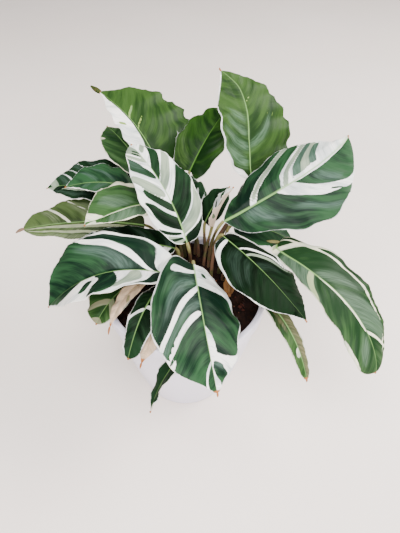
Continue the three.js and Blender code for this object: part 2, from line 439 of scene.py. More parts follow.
class GroupKit:
    """The shader node groups that several materials share, each made once."""

    def __init__(self) -> None:
        """Makes every group."""
        self.vein_grain = self._vein_grain()
        self.painted_edge = self._painted_edge()
        self.speckle = self._speckle()

    @staticmethod
    def _start(name: str, inputs: dict[str, float], outputs: Sequence[str]) -> tuple:
        """Makes an empty group with number sockets.

        Args:
            name: The group's name.
            inputs: Each input's name and starting value.
            outputs: The outputs' names.

        Returns:
            The group, its Sheet, its input node and its output node.
        """
        group = bpy.data.node_groups.new(name, "ShaderNodeTree")
        for label, start in inputs.items():
            socket = group.interface.new_socket(
                label, in_out="INPUT", socket_type="NodeSocketFloat"
            )
            socket.default_value = start
        for label in outputs:
            group.interface.new_socket(label, in_out="OUTPUT", socket_type="NodeSocketFloat")
        sheet = Sheet(group)
        return group, sheet, sheet.place("NodeGroupInput"), sheet.place("NodeGroupOutput")

    def _vein_grain(self) -> NodeTree:
        """Streaks that run along the side veins of a blade.

        Returns:
            A group that takes the place along the veins' row and across the blade, both in
            millimetres, and gives fine streaks, broad clouds and the ridges of the veins.
        """
        group, sheet, taken, given = self._start(
            "vein_grain",
            {"Vein": 0.0, "Across": 0.0, "Fine": 0.7, "Pitch": 1.7},
            ("Streak", "Cloud", "Ridge"),
        )
        vein, across = taken.outputs["Vein"], taken.outputs["Across"]
        drift = sheet.noise(sheet.point(vein, across, 0.0), 0.12, 1.0)
        shifted = sheet.sum("ADD", vein, sheet.sum("MULTIPLY", drift, 1.5))
        slow = sheet.sum("MULTIPLY", across, 0.16)
        streak = sheet.noise(sheet.point(shifted, slow, 0.0), taken.outputs["Fine"], 3.0)
        cloud = sheet.noise(
            sheet.point(shifted, sheet.sum("MULTIPLY", across, 0.35), 3.0), 0.14, 2.0
        )
        turn = sheet.sum(
            "MULTIPLY", sheet.sum("DIVIDE", shifted, taken.outputs["Pitch"]), FULL_TURN
        )
        ridge = sheet.sum("MULTIPLY_ADD", sheet.sum("SINE", turn), 0.5, 0.5)
        for name, socket in (("Streak", streak), ("Cloud", cloud), ("Ridge", ridge)):
            sheet.join(socket, given.inputs[name])
        return group

    def _painted_edge(self) -> NodeTree:
        """The mask of a marking whose edge is feathered along the veins.

        Returns:
            A group that takes the distance inside the marking in millimetres, a streak, how
            far the streak moves the edge and how soft the edge is, and gives the mask.
        """
        group, sheet, taken, given = self._start(
            "painted_edge", {"Field": 0.0, "Streak": 0.5, "Spread": 2.0, "Soft": 0.4}, ("Mask",)
        )
        centred = sheet.sum("SUBTRACT", taken.outputs["Streak"], 0.5)
        moved = sheet.sum("MULTIPLY_ADD", centred, taken.outputs["Spread"], taken.outputs["Field"])
        low = sheet.sum("MULTIPLY", taken.outputs["Soft"], -1.0)
        sheet.join(sheet.step(moved, low, taken.outputs["Soft"]), given.inputs["Mask"])
        return group

    def _speckle(self) -> NodeTree:
        """Fine even grain over a surface, for plastic, soil and stalks.

        Returns:
            A group that takes the grain's size and its patches' size in millimetres and gives
            both as values.
        """
        group, sheet, taken, given = self._start(
            "speckle", {"Grain Size": 0.5, "Patch Size": 12.0}, ("Grain", "Patch")
        )
        where = sheet.place("ShaderNodeTexCoord").outputs["Object"]
        for size, name in (("Grain Size", "Grain"), ("Patch Size", "Patch")):
            scale = sheet.sum("DIVIDE", 1.0 / MM, taken.outputs[size])
            sheet.join(sheet.noise(where, scale, 3.0), given.inputs[name])
        return group


# ---- finishes ----


# What the painted pleat shade in a pale marking keeps of its red, green and blue.
PALE_PLEAT_SHADE = (0.64, 0.68, 0.70)


@dataclass(frozen=True)
class LeafFinish:
    """The colours and gloss of one kind of leaf, upper face, underside and stalk."""

    name: str
    deep: Colour = (0.003, 0.014, 0.007)
    fresh: Colour = (0.023, 0.073, 0.027)
    # The colour of the painted sheen of reflected light, also in the streaks of the milky and pale
    # markings.
    hazy: Colour = (0.08, 0.135, 0.105)
    milky: Colour = (0.3, 0.36, 0.26)
    pale: Colour = (0.92, 0.925, 0.89)
    rib: Colour = (0.23, 0.42, 0.13)
    under_green: Colour = (0.15, 0.21, 0.12)
    under_pale: Colour = (0.7, 0.56, 0.43)
    stalk_green: Colour = (0.075, 0.075, 0.028)
    stalk_tan: Colour = (0.13, 0.068, 0.042)
    neck: Colour = (0.23, 0.21, 0.08)
    brown: Colour = (0.34, 0.13, 0.04)
    roughness: float = 0.42
    gloss: float = 0.12
    light_through: float = 0.30
    ridge_height: float = 0.12

    def material(self, kit: GroupKit) -> Material:
        """Makes the leaf material.

        Args:
            kit: The shared node groups.

        Returns:
            A material that reads the markings that a leaf's mesh carries.
        """
        material, sheet = blank_material(self.name)
        grain = sheet.use(kit.vein_grain, Vein=sheet.value("vein"), Across=sheet.value("across"))
        streak, cloud = grain.outputs["Streak"], grain.outputs["Cloud"]
        colour = self._blade_colour(sheet, kit, streak, cloud, grain.outputs["Ridge"])
        speckle = sheet.use(kit.speckle, Grain_Size=0.8, Patch_Size=9.0)
        colour = self._stalk_and_dry(sheet, colour, speckle)
        relief = sheet.sum("MULTIPLY_ADD", speckle.outputs["Grain"], 0.25, grain.outputs["Ridge"])
        rough = sheet.sum("MULTIPLY_ADD", cloud, 0.22, self.roughness - 0.11)
        for name, more in (("dry", 0.35), ("under", 0.2)):
            rough = sheet.sum("MULTIPLY_ADD", sheet.value(name), more, rough, clamp=True)
        glossy = sheet.gloss(colour, rough, relief, 0.35, self.ridge_height, self.gloss)
        through = sheet.place("ShaderNodeBsdfTranslucent")
        sheet.join(colour, through.inputs["Color"])
        both = sheet.place("ShaderNodeMixShader")
        both.inputs[0].default_value = self.light_through
        sheet.join(glossy, both.inputs[1])
        sheet.join(through.outputs[0], both.inputs[2])
        sheet.show(both.outputs[0])
        return material

    def _blade_colour(
        self, sheet: Sheet, kit: GroupKit, streak: NodeSocket, cloud: NodeSocket, ridge: NodeSocket
    ) -> NodeSocket:
        """Paints the greens, the markings, painted sheen and painted pleat shade, the midrib and the
        underside.

        Args:
            sheet: The material's nodes.
            kit: The shared node groups.
            streak: Fine streaks along the veins.
            cloud: Broad patches along the veins.
            ridge: The side veins' ridges.

        Returns:
            The blade's colour.
        """
        lift = sheet.sum("MULTIPLY_ADD", ridge, 0.12, streak)
        mixed = sheet.sum("MULTIPLY_ADD", cloud, 1.25, sheet.sum("MULTIPLY", lift, 0.35))
        fresh_share = sheet.step(sheet.sum("ADD", mixed, sheet.value("fresh")), 0.62, 1.15)
        green = sheet.blend(fresh_share, self.deep, self.fresh)
        hazy, milky, pale = (
            sheet.use(
                kit.painted_edge, Field=sheet.value(name), Streak=streak, Spread=spread, Soft=soft
            ).outputs["Mask"]
            for name, spread, soft in (("hazy", 4.0, 4.5), ("milky", 1.7, 0.5), ("pale", 1.7, 0.3))
        )
        # The painted sheen, broken into streaks along the veins, laid over the greens.
        clear = sheet.sum("MULTIPLY_ADD", sheet.step(streak, 0.30, 0.70), 0.45, 0.35)
        sheened = sheet.blend(sheet.sum("MULTIPLY", hazy, clear), green, self.hazy)
        # Broad patches along the veins: painted shade of the pleats, which greys the milky marking
        # towards the sheen's colour and darkens the pale one.
        pleat_shade = sheet.step(mixed, 0.70, 1.05)
        milky_shaded = sheet.blend(sheet.sum("MULTIPLY", pleat_shade, 0.55), self.milky, self.hazy)
        sheened = sheet.blend(milky, sheened, milky_shaded)
        pale_shaded = tuple(part * kept for part, kept in zip(self.pale, PALE_PLEAT_SHADE))
        pale_colour = sheet.blend(pleat_shade, self.pale, pale_shaded)
        # Fine grey-green streaks along the veins in the pale marking, in the sheen's colour.
        fine_streaks = sheet.sum("MULTIPLY", sheet.step(streak, 0.54, 0.72), 0.35)
        pale_colour = sheet.blend(fine_streaks, pale_colour, self.hazy)
        marked = sheet.blend(pale, sheened, pale_colour)
        on_rib = sheet.sum("MULTIPLY", sheet.step(sheet.value("rib"), -0.35, 0.45), 0.8)
        above = sheet.blend(on_rib, marked, self.rib)
        below = sheet.blend(pale, self.under_green, self.under_pale)
        return sheet.blend(sheet.value("under"), above, below)

    def _stalk_and_dry(self, sheet: Sheet, blade: NodeSocket, speckle: Node) -> NodeSocket:
        """Adds the stalk's colours and the brown of dried tips.

        Args:
            sheet: The material's nodes.
            blade: The blade's colour.
            speckle: The placed speckle group.

        Returns:
            The leaf's whole colour.
        """
        patch = sheet.step(speckle.outputs["Patch"], 0.38, 0.62)
        stalk = sheet.blend(patch, self.stalk_green, self.stalk_tan)
        stalk = sheet.blend(sheet.value("neck"), stalk, self.neck)
        whole = sheet.blend(sheet.value("stalk"), blade, stalk)
        ragged = sheet.sum("MULTIPLY_ADD", speckle.outputs["Grain"], 0.6, sheet.value("dry"))
        return sheet.blend(sheet.step(ragged, 0.62, 0.95), whole, self.brown)


@dataclass(frozen=True)
class PlainFinish:
    """A surface of one colour with patches and fine grain, such as plastic or soil."""

    name: str
    colour: Colour
    patch_colour: Colour
    roughness: float
    grain_size: float
    patch_size: float
    bump: float
    gloss: float = 0.5
    value_colours: tuple[tuple[str, Colour], ...] = ()

    def material(self, kit: GroupKit) -> Material:
        """Makes the material.

        Args:
            kit: The shared node groups.

        Returns:
            The material, with one more colour for each named value that the mesh carries.
        """
        material, sheet = blank_material(self.name)
        speckle = sheet.use(kit.speckle, Grain_Size=self.grain_size, Patch_Size=self.patch_size)
        patch = sheet.step(speckle.outputs["Patch"], 0.35, 0.65)
        colour = sheet.blend(patch, self.colour, self.patch_colour)
        for name, tint in self.value_colours:
            colour = sheet.blend(sheet.value(name), colour, tint)
        rough = sheet.sum("MULTIPLY_ADD", speckle.outputs["Patch"], 0.1, self.roughness - 0.05)
        grain = speckle.outputs["Grain"]
        sheet.show(sheet.gloss(colour, rough, grain, 0.5, self.bump, self.gloss))
        return material


STRIPED = LeafFinish("leaf_striped")
# Darker greens, partly these leaves' own deeper green and partly painted shade for leaves that lie in
# shade.
DARK = LeafFinish(
    "leaf_dark", deep=(0.002, 0.008, 0.003), fresh=(0.011, 0.034, 0.013),
    hazy=(0.05, 0.09, 0.065), gloss=0.05,
)
# Near-black greens, partly the leaf's own deep green and partly painted shade.
INKY = LeafFinish(
    "leaf_inky", deep=(0.001, 0.0038, 0.0012), fresh=(0.0048, 0.016, 0.0055),
    hazy=(0.022, 0.042, 0.029), gloss=0.03,
)
LIGHT = LeafFinish(
    "leaf_light", deep=(0.009, 0.032, 0.009), fresh=(0.042, 0.098, 0.03),
    hazy=(0.1, 0.16, 0.103), milky=(0.36, 0.43, 0.22), pale=(0.8, 0.81, 0.6),
    light_through=0.32,
)
SUNLIT = LeafFinish(
    "leaf_sunlit", deep=(0.01, 0.032, 0.006), fresh=(0.038, 0.088, 0.017),
    hazy=(0.11, 0.2, 0.12), milky=(0.23, 0.35, 0.08), pale=(0.98, 0.985, 0.95),
    light_through=0.34,
)
OLIVE = LeafFinish(
    "leaf_olive", deep=(0.003, 0.018, 0.002), fresh=(0.022, 0.068, 0.007),
    hazy=(0.06, 0.12, 0.03), rib=(0.09, 0.22, 0.03), light_through=0.35,
)
PALE_OLIVE = LeafFinish(
    "leaf_pale_olive", deep=(0.02, 0.036, 0.01), fresh=(0.07, 0.11, 0.035),
    hazy=(0.18, 0.22, 0.12), milky=(0.28, 0.31, 0.19), pale=(0.62, 0.63, 0.5),
    brown=(0.22, 0.14, 0.095), light_through=0.34,
)
# A white leaf's colours as they look in warm shade: partly its own cream, partly painted shade.
CREAM = LeafFinish(
    "leaf_cream", deep=(0.03, 0.08, 0.014), fresh=(0.06, 0.14, 0.03),
    hazy=(0.42, 0.33, 0.2), pale=(0.68, 0.5, 0.34), rib=(0.56, 0.44, 0.26),
)
OLIVE_BACKED = LeafFinish(
    "leaf_olive_backed", deep=(0.012, 0.04, 0.009), fresh=(0.05, 0.11, 0.028),
    hazy=(0.19, 0.16, 0.085), milky=(0.28, 0.31, 0.19), pale=(0.62, 0.63, 0.5),
)
DRY = LeafFinish(
    "leaf_dried", deep=(0.09, 0.038, 0.012), fresh=(0.2, 0.09, 0.028),
    hazy=(0.26, 0.14, 0.05), pale=(0.3, 0.17, 0.07), rib=(0.2, 0.11, 0.04),
    under_green=(0.11, 0.055, 0.022), under_pale=(0.24, 0.14, 0.07),
    stalk_green=(0.11, 0.05, 0.018), stalk_tan=(0.18, 0.08, 0.03),
    neck=(0.19, 0.085, 0.03), roughness=0.6,
)
# The pot's own light lavender white, darkened with painted shade towards the grey of its
# sideways-facing wall.
POT_FINISH = PlainFinish(
    "pot_satin_white_shaded", (0.64, 0.605, 0.69), (0.62, 0.585, 0.67), 0.34, 0.9, 60.0, 0.03
)
SOIL_FINISH = PlainFinish(
    "potting_soil", (0.006, 0.003, 0.003), (0.014, 0.006, 0.004), 0.9, 0.7, 5.0, 0.6, 0.08,
    (("bark", (0.034, 0.01, 0.007)), ("chaff", (0.13, 0.05, 0.03))),
)
FLOOR_FINISH = PlainFinish(
    "pale_floor", (0.8, 0.715, 0.655), (0.765, 0.68, 0.62), 0.5, 3.0, 400.0, 0.02
)


# ---- the pot ----


@dataclass(frozen=True)
class Pot:
    """The round plastic pot: a tapering wall, a stepped lip at the top and a small heel.

    Sizes are in millimetres, and edges bent by more than sharp, in degrees, stay crisp.
    """

    height: float = 118.0
    rim_radius: float = 65.0
    rim_width: float = 4.5
    rim_round: float = 1.6
    lip_height: float = 10.0
    lip_step: float = 2.0
    lip_round: float = 0.8
    belly: float = 2.0
    heel_radius: float = 42.0
    heel_height: float = 5.0
    base_radius: float = 38.0
    wall: float = 3.0
    floor: float = 4.0
    floor_corner: float = 4.0
    levels: int = 26
    turns: int = 160
    sharp: float = 40.0

    @property
    def lip_base(self) -> float:
        """The height at which the lip starts."""
        return self.height - self.lip_height

    def wall_radius(self, z: float) -> float:
        """The outer wall's radius below the lip.

        Args:
            z: The height in millimetres.

        Returns:
            The radius in millimetres.
        """
        share = (z - self.heel_height) / (self.lip_base - self.heel_height)
        straight = self.heel_radius + (self.rim_radius - self.lip_step - self.heel_radius) * share
        return straight + self.belly * math.sin(math.pi * share)

    def inner_radius(self, z: float) -> float:
        """The inner wall's radius at a height."""
        return min(self.wall_radius(z) - self.wall, self.rim_radius - self.rim_width)

    def profile(self) -> list[Pair]:
        """The section's outline, from the middle of the underside round to the floor inside.

        Returns:
            Radius and height pairs in millimetres.
        """
        top, rim, bend, heel = self.height, self.rim_radius, self.rim_round, self.heel_radius
        lip, inside, edge = self.lip_base, rim - self.rim_width, rim - self.lip_round
        low = self.floor + self.floor_corner
        foot = self.inner_radius(low)
        outer = np.linspace(self.heel_height, lip - 0.6, self.levels)
        inner = np.linspace(lip, low, self.levels)
        return [
            (self.base_radius, 0.0),
            *corner((self.base_radius + 1, 0.0), (heel - 0.4, 0.4),
                    (heel - 0.2, self.heel_height - 1.0), 6),
            *((self.wall_radius(z), z) for z in outer),
            *corner((self.wall_radius(lip) + 0.1, lip - 0.1), (edge - 0.6, lip - 0.1), (edge, lip), 3),
            *corner((edge, lip), (rim, lip), (rim, lip + self.lip_round), 4),
            *corner((rim, top - bend), (rim, top), (rim - bend, top), 8),
            *corner((inside + bend, top), (inside, top), (inside, top - bend), 8),
            *((self.inner_radius(z), z) for z in inner),
            *corner((foot, low), (foot - 1, self.floor), (foot - self.floor_corner, self.floor), 5),
        ]

    def build(self) -> Object:
        """Makes the pot's mesh.

        Returns:
            The pot's piece.
        """
        profile = self.profile()
        shape = Shape()
        shape.add_points(lathe_rings(profile, self.turns))
        shape.skin(0, len(profile), self.turns)
        last = (len(profile) - 1) * self.turns
        shape.cap((0.0, 0.0, 0.0), 0, self.turns, outward=False)
        shape.cap((0.0, 0.0, self.floor * MM), last, self.turns, outward=True)
        return shape.piece("white_pot", sharp=self.sharp)

    def dress(self, piece: Object, kit: GroupKit) -> None:
        """Gives the pot its satin plastic, its colour darkened by painted shade, and its place in the
        frame.

        Args:
            piece: The pot's piece.
            kit: The shared node groups.
        """
        piece.data.materials.append(POT_FINISH.material(kit))
        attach(piece, "root")
        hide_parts("pot")


# ---- the soil ----


@dataclass(frozen=True)
class Soil:
    """Loose potting soil that fills the pot to just under its rim, sized in millimetres.

    Each pair in lumps is the length and the height of one size of wave. A crumb is bark or
    chaff where a number drawn for it passes bark_from or chaff_from.
    """

    pot: Pot
    level: float = SOIL_LEVEL
    crown: float = 1.5
    clear: float = 0.3
    rings: int = 46
    turns: int = 150
    wall_rings: int = 14
    lumps: tuple[Pair, ...] = ((34.0, 0.9), (17.0, 0.7), (8.5, 0.55), (4.6, 0.4), (2.9, 0.28))
    waves_each: int = 4
    settled_edge: float = 3.0
    crumbs: int = 520
    smallest_crumb: float = 0.5
    crumb_spread: float = 2.1
    crumb_rings: int = 4
    crumb_sides: int = 7
    bark_from: float = 0.55
    chaff_from: float = 0.93
    seed: int = 4

    @property
    def edge(self) -> float:
        """The upper face's radius."""
        return self.pot.inner_radius(self.level) - self.clear

    def top(self, radius: Array, angle: Array) -> Array:
        """The height of the lumpy upper face.

        Args:
            radius: Distance from the middle in millimetres.
            angle: Direction in radians.

        Returns:
            Heights in millimetres.
        """
        x, y = radius * np.cos(angle), radius * np.sin(angle)
        lumps = 0.0
        draw = random.Random(self.seed)
        for size, height in self.lumps:
            for _ in range(self.waves_each):
                turn, phase = FULL_TURN * draw.random(), FULL_TURN * draw.random()
                along = x * math.cos(turn) + y * math.sin(turn)
                lumps = lumps + height / 2 * np.sin(FULL_TURN * along / size + phase)
        settle = 1 - ramp(radius, self.edge - self.settled_edge, self.edge)
        return self.level + self.crown * np.cos(radius / self.edge * math.pi / 2) + lumps * settle

    def build(self) -> Object:
        """Makes the soil's mesh with its crumbs of bark and chaff.

        Returns:
            The soil's piece.
        """
        pot, shape = self.pot, Shape()
        angle = FULL_TURN * np.arange(self.turns) / self.turns
        low, foot = pot.floor + self.clear, pot.floor + pot.floor_corner
        wall = [(pot.inner_radius(foot) - pot.floor_corner - self.clear, low)]
        for z in np.linspace(foot, pot.lip_base, self.wall_rings):
            wall.append((pot.inner_radius(z) - self.clear, z))
        rings = [lathe_rings(wall, self.turns)]
        for radius in np.linspace(self.edge, self.edge / self.rings, self.rings):
            height = self.top(np.full(self.turns, radius), angle)
            ring = [radius * np.cos(angle), radius * np.sin(angle), height]
            rings.append(np.stack(ring, axis=-1) * MM)
        dark = {"bark": 0.0, "chaff": 0.0}
        shape.add_points(np.concatenate(rings), **dark)
        last = shape.count - self.turns
        shape.skin(0, shape.count // self.turns, self.turns)
        shape.cap((0.0, 0.0, low * MM), 0, self.turns, outward=False, **dark)
        middle = float(self.top(np.zeros(1), np.zeros(1))[0])
        shape.cap((0.0, 0.0, middle * MM), last, self.turns, outward=True, **dark)
        self._scatter(shape)
        return shape.piece("soil_bed")

    def _scatter(self, shape: Shape) -> None:
        """Sinks crumbs of several sizes half into the upper face.

        Args:
            shape: The soil's shape so far.
        """
        draw = random.Random(self.seed + 1)
        for _ in range(self.crumbs):
            size = self.smallest_crumb + self.crumb_spread * draw.random() ** 3
            radius = (self.edge - 1.2 * size) * math.sqrt(draw.random())
            angle = FULL_TURN * draw.random()
            height = float(self.top(np.array([radius]), np.array([angle]))[0])
            middle = Vector((radius * math.cos(angle), radius * math.sin(angle), height))
            turn = Euler([FULL_TURN * draw.random() for _ in range(3)]).to_matrix()
            stretch = Vector((1.0 + 0.9 * draw.random(), 0.8, 0.5 + 0.3 * draw.random()))
            kind = draw.random()
            self._crumb(shape, middle, turn, stretch * size, kind, draw)

    def _crumb(
        self, shape: Shape, middle: Vector, turn: Matrix, size: Vector, kind: float,
        draw: random.Random,
    ) -> None:
        """Adds one uneven crumb.

        Args:
            shape: The soil's shape so far.
            middle: The crumb's middle in millimetres.
            turn: How the crumb lies.
            size: Its half sizes in millimetres.
            kind: A number that picks dark soil, bark or chaff.
            draw: Where its unevenness comes from.
        """
        rows, sides = self.crumb_rings, self.crumb_sides
        points = []
        for row in range(rows):
            tilt = math.pi * (row + 0.5) / rows
            for k in range(sides):
                spin = FULL_TURN * (k + 0.5 * (row % 2)) / sides
                rough = 0.78 + 0.44 * draw.random()
                spot = Vector((
                    size.x * math.sin(tilt) * math.cos(spin),
                    size.y * math.sin(tilt) * math.sin(spin),
                    -size.z * math.cos(tilt),
                )) * rough
                points.append((middle + turn @ spot) * MM)
        ends = [(middle + turn @ Vector((0, 0, side * size.z))) * MM for side in (-1, 1)]
        bark = float(self.bark_from < kind < self.chaff_from)
        chaff = float(kind >= self.chaff_from)
        first = shape.add_points(np.array(points + ends), bark=bark, chaff=chaff)
        shape.skin(first, rows, sides)
        shape.fan(first + rows * sides, first, sides, outward=False)
        shape.fan(first + rows * sides + 1, first + (rows - 1) * sides, sides, outward=True)

    def dress(self, piece: Object, kit: GroupKit) -> None:
        """Gives the soil its colours and its place in the frame.

        Args:
            piece: The soil's piece.
            kit: The shared node groups.
        """
        piece.data.materials.append(SOIL_FINISH.material(kit))
        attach(piece, "root")
        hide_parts("soil")


# ---- leaf markings ----


class Side(Enum):
    """A half of a blade, looking from its base to its tip with its upper face up."""

    LEFT = 0
    RIGHT = 1

    def holds(self, columns: Array) -> Array:
        """Says which places across lie on this half, off the midrib."""
        return columns > 0 if self is Side.RIGHT else columns < 0


class Mark(Enum):
    """The four tones that a blade is painted with; one of them is a painted sheen of light."""

    GREEN = "green"
    SHEEN = "hazy"
    MILKY = "milky"
    PALE = "pale"


# Short forms for the tables of strokes.
L, R = Side.LEFT, Side.RIGHT
GREEN, SHEEN, MILKY, PALE = Mark.GREEN, Mark.SHEEN, Mark.MILKY, Mark.PALE

# The least depth that the middle of a band counts as, so that thin bands don't break up.
FEATHER = 3.0
# How far a band reaches on under a paler one beside it.
BLEED = 4.0
# The depth inside a tone where a leaf has none of it.
UNMARKED = -9.0
NO_MARKS = {"pale": UNMARKED, "milky": UNMARKED, "hazy": UNMARKED, "rib": UNMARKED}


@dataclass(frozen=True)
class Stroke:
    """One band of a blade's marking or of its painted sheen, which follows the side veins.

    Places along are shares of the blade's length, counted where the vein leaves the midrib.
    Places across are shares of the half's width, counted from the midrib.
    """

    side: Side
    mark: Mark
    at: float
    width: float
    inner: float = -0.2
    outer: float = 1.3
    slant: float = 0.0
    bend: float = 0.0
    taper: float = 1.0
    rounding: float = 3.0

    def depth(self, along: Array, reach: Array, length: float, half: Array) -> Array:
        """How far points lie inside the band.

        Args:
            along: Shares of the length at which the points' veins leave the midrib.
            reach: Shares of the half's width.
            length: The blade's length in millimetres.
            half: The half's width in millimetres.

        Returns:
            Distances in millimetres, below zero outside.
        """
        out = np.clip((reach - self.inner) / (self.outer - self.inner), 0.0, 1.0)
        tongue = np.sqrt(1 - np.abs(2 * out - 1) ** 4)
        half_width = self.width / 2 * (1 + (self.taper - 1) * out) * tongue
        middle = self.at + self.slant * reach + self.bend * 4 * reach * (1 - reach)
        gain = max(1.0, FEATHER / (self.width / 2 * length))
        lengthwise = (half_width - np.abs(along - middle)) * length * gain
        crosswise = np.minimum(reach - self.inner, self.outer - reach) * half
        return soft_min(lengthwise, crosswise, self.rounding)


def usual_strokes(seed: int) -> tuple[Stroke, ...]:
    """Bands for a leaf with no marking of its own, drawn at random with a fixed seed.

    Args:
        seed: The seed of the draws.

    Returns:
        Pale bands and bands of painted sheen on both halves.
    """
    draw = random.Random(seed)
    strokes = []
    for side in Side:
        place = 0.04 + 0.1 * draw.random()
        while place < 0.85:
            width = 0.03 + 0.05 * draw.random()
            mark = PALE if draw.random() < 0.6 else SHEEN
            outer = 0.6 + 0.6 * draw.random()
            strokes.append(Stroke(side, mark, place, width, -0.1, outer, 0.04))
            place += width + 0.09 + 0.12 * draw.random()
    return tuple(strokes)


# ---- leaves ----


@dataclass(frozen=True)
class StalkStyle:
    """Sizes that every stalk shares, in millimetres where they aren't shares or counts."""

    foot_radius: float = 1.55
    neck_radius: float = 1.0
    depth: float = 16.0
    upright: float = 3.0
    rise_share: float = 0.4
    lead_share: float = 0.22
    rings: int = 30
    joint_length: float = 10.0
    joint_swell: float = 0.25
    grain_turn: float = 14.0


@dataclass(frozen=True)
class BladeStyle:
    """Sizes that every blade shares, in millimetres where they aren't shares or counts."""

    thickness: float = 0.5
    edge_thickness: float = 0.28
    station_step: float = 1.1
    fewest_stations: int = 28
    column_step: float = 1.15
    fewest_columns: int = 9
    most_columns: int = 34
    end_crowding: float = 0.8
    rib_crowding: float = 1.25
    wave_shift: float = 0.3
    unevenness: float = 0.018
    scallops: float = 9.0
    pleat: float = 8.0
    pleat_height: float = 0.26
    base_spread: float = 0.35
    rib_taper: float = 0.6
    groove_depth: float = 0.5
    groove_width: float = 1.2
    groove_taper: float = 0.5
    keel_depth: float = 1.3
    keel_width: float = 0.9
    keel_taper: float = 0.8
    ripple_height: float = 1.1
    dry_edge: float = 0.25
    dry_edge_width: float = 1.5
    tail_rings: int = 7
    half_grain: float = 37.0
    grain_places: int = 613


STALK = StalkStyle()
BLADE = BladeStyle()


@dataclass
class Spine:
    """The midrib's places and directions at each station of a blade."""

    at: Array
    ahead: Array
    up: Array
    right: Array


@dataclass(frozen=True)
class Leaf:
    """One leaf, blade and stalk grown as one, with its sizes in millimetres and degrees.

    foot is where its stalk leaves the soil, and base and tip are the ends of its blade. Every
    other pair of numbers is for its left and its right half, seen from the base with the
    upper face up. wave is the height, number and start of the edge's waves. shift and drift
    move the drawn midrib off the fold, and lean and sweep say how far the side veins run
    towards the tip. The tail is the dried thread beyond the tip.
    """

    name: str
    finish: LeafFinish
    foot: Pair
    base: Triple
    tip: Triple
    half: Pair
    widest: float = 0.43
    roll: float = 0.0
    twist: float = 0.0
    bow: float = 6.0
    sway: float = 0.0
    fold: Pair = (10.0, 10.0)
    curl: Pair = (15.0, 15.0)
    wave: Triple = (1.0, 4.0, 0.2)
    shift: float = 0.0
    drift: float = 0.0
    lean: float = 0.4
    sweep: float = 0.8
    margin: Pair = (0.6, 0.6)
    scallop: Pair = (0.0, 0.0)
    rib: float = 0.7
    point: Pair = (0.5, 0.5)
    point_from: Pair = (0.8, 0.8)
    fullness: Pair = (0.58, 0.58)
    lobe: Pair = (2.0, 2.0)
    fresh: float = 0.0
    tail: float = 1.2
    tail_half: float = 0.75
    tail_dry: float = 1.0
    tail_droop: float = 30.0
    dry_tip: float = 0.8
    strokes: tuple[Stroke, ...] = ()

    @property
    def seed(self) -> int:
        """A fixed number of this leaf's own, from its name."""
        return sum((k + 3) * ord(letter) for k, letter in enumerate(self.name))

    @property
    def grain_start(self) -> int:
        """Where this leaf's grain starts, so that no two leaves look alike."""
        return self.seed % BLADE.grain_places

    @property
    def span(self) -> Array:
        """The straight way from base to tip."""
        return np.array(self.tip) - np.array(self.base)

    @property
    def length(self) -> float:
        """The straight length from base to tip."""
        return float(np.linalg.norm(self.span))

    def shifts(self, along: Array) -> Array:
        """How far the drawn midrib stands to the right of the fold, as a share of the half."""
        return self.shift + self.drift * (along - 0.5)

    def own_half(self, side: Side, along: Array) -> Array:
        """The full width of a half from its drawn midrib to its edge.

        Args:
            side: The half.
            along: Shares of the length.

        Returns:
            The width at each of them, in millimetres.
        """
        left, right = self.half
        shift = self.shifts(along)
        gain = np.maximum(shift, 0.0) * right - np.maximum(-shift, 0.0) * left
        return left + gain if side is Side.LEFT else right - gain

    def face_up(self, degrees: Array) -> Array:
        """The upward direction square to the chord, turned about it.

        Args:
            degrees: How far it is turned.

        Returns:
            One direction for each angle.
        """
        chord = unit(self.span)
        up = unit(UP - chord * chord[2])
        return turned(up, chord, np.radians(degrees))

    def spine(self, along: Array) -> Spine:
        """The midrib and its frame.

        Args:
            along: Shares of the length.

        Returns:
            The frame at each of them, in millimetres.
        """
        chord = unit(self.span)
        lift = self.face_up(np.array(self.roll))
        aside = np.cross(chord, lift)
        bend = self.bow * lift + self.sway * aside
        swell = 4 * along * (1 - along)
        at = np.array(self.base) + self.span * along[:, None] + bend * swell[:, None]
        ahead = unit(self.span + bend * (4 * (1 - 2 * along))[:, None])
        up = self.face_up(self.roll + self.twist * (along - 0.5))
        up = unit(up - ahead * np.sum(up * ahead, axis=1, keepdims=True))
        return Spine(at, ahead, up, np.cross(ahead, up))

    def width_share(self, along: Array, side: Side) -> Array:
        """How wide a half is along the blade.

        Args:
            along: Shares of the length.
            side: The half.

        Returns:
            Shares of the half's full width.
        """
        swell = along ** (math.log(0.5) / math.log(self.widest))
        oval = np.clip(np.sin(math.pi * swell), 0.0, 1.0) ** self.fullness[side.value]
        point = ramp(along, self.point_from[side.value], 1.0)
        return oval * (1 - self.point[side.value] * point)

    def stations(self) -> Array:
        """Places along the blade, closer together at both ends.

        Returns:
            Shares of the length.
        """
        count = max(BLADE.fewest_stations, round(self.length / BLADE.station_step))
        even = np.arange(1, count) / count
        return even - BLADE.end_crowding * np.sin(FULL_TURN * even) / FULL_TURN

    def columns(self) -> Array:
        """Places across the blade from -1 to 1, closer together at the midrib.

        Returns:
            Shares of the halves' widths, below 0 on the left half.
        """
        count = round(max(self.half) / BLADE.column_step)
        count = min(max(count, BLADE.fewest_columns), BLADE.most_columns)
        out = (np.arange(1, count + 1) / count) ** BLADE.rib_crowding
        return np.concatenate([-out[::-1], [0.0], out])

    def vein_place(self, along: Array, across: Array, side: Side) -> Array:
        """Where the side vein through each point leaves the midrib.

        Args:
            along: Shares of the length.
            across: Distances from the midrib in millimetres.
            side: The half that the points are on.

        Returns:
            Shares of the length.
        """
        spread = BLADE.base_spread + (1 - BLADE.base_spread) * ramp(along, 0.0, 0.6)
        half = self.own_half(side, along)
        shift = spread * (self.lean * across + self.sweep * across**2 / half)
        return along - shift / self.length

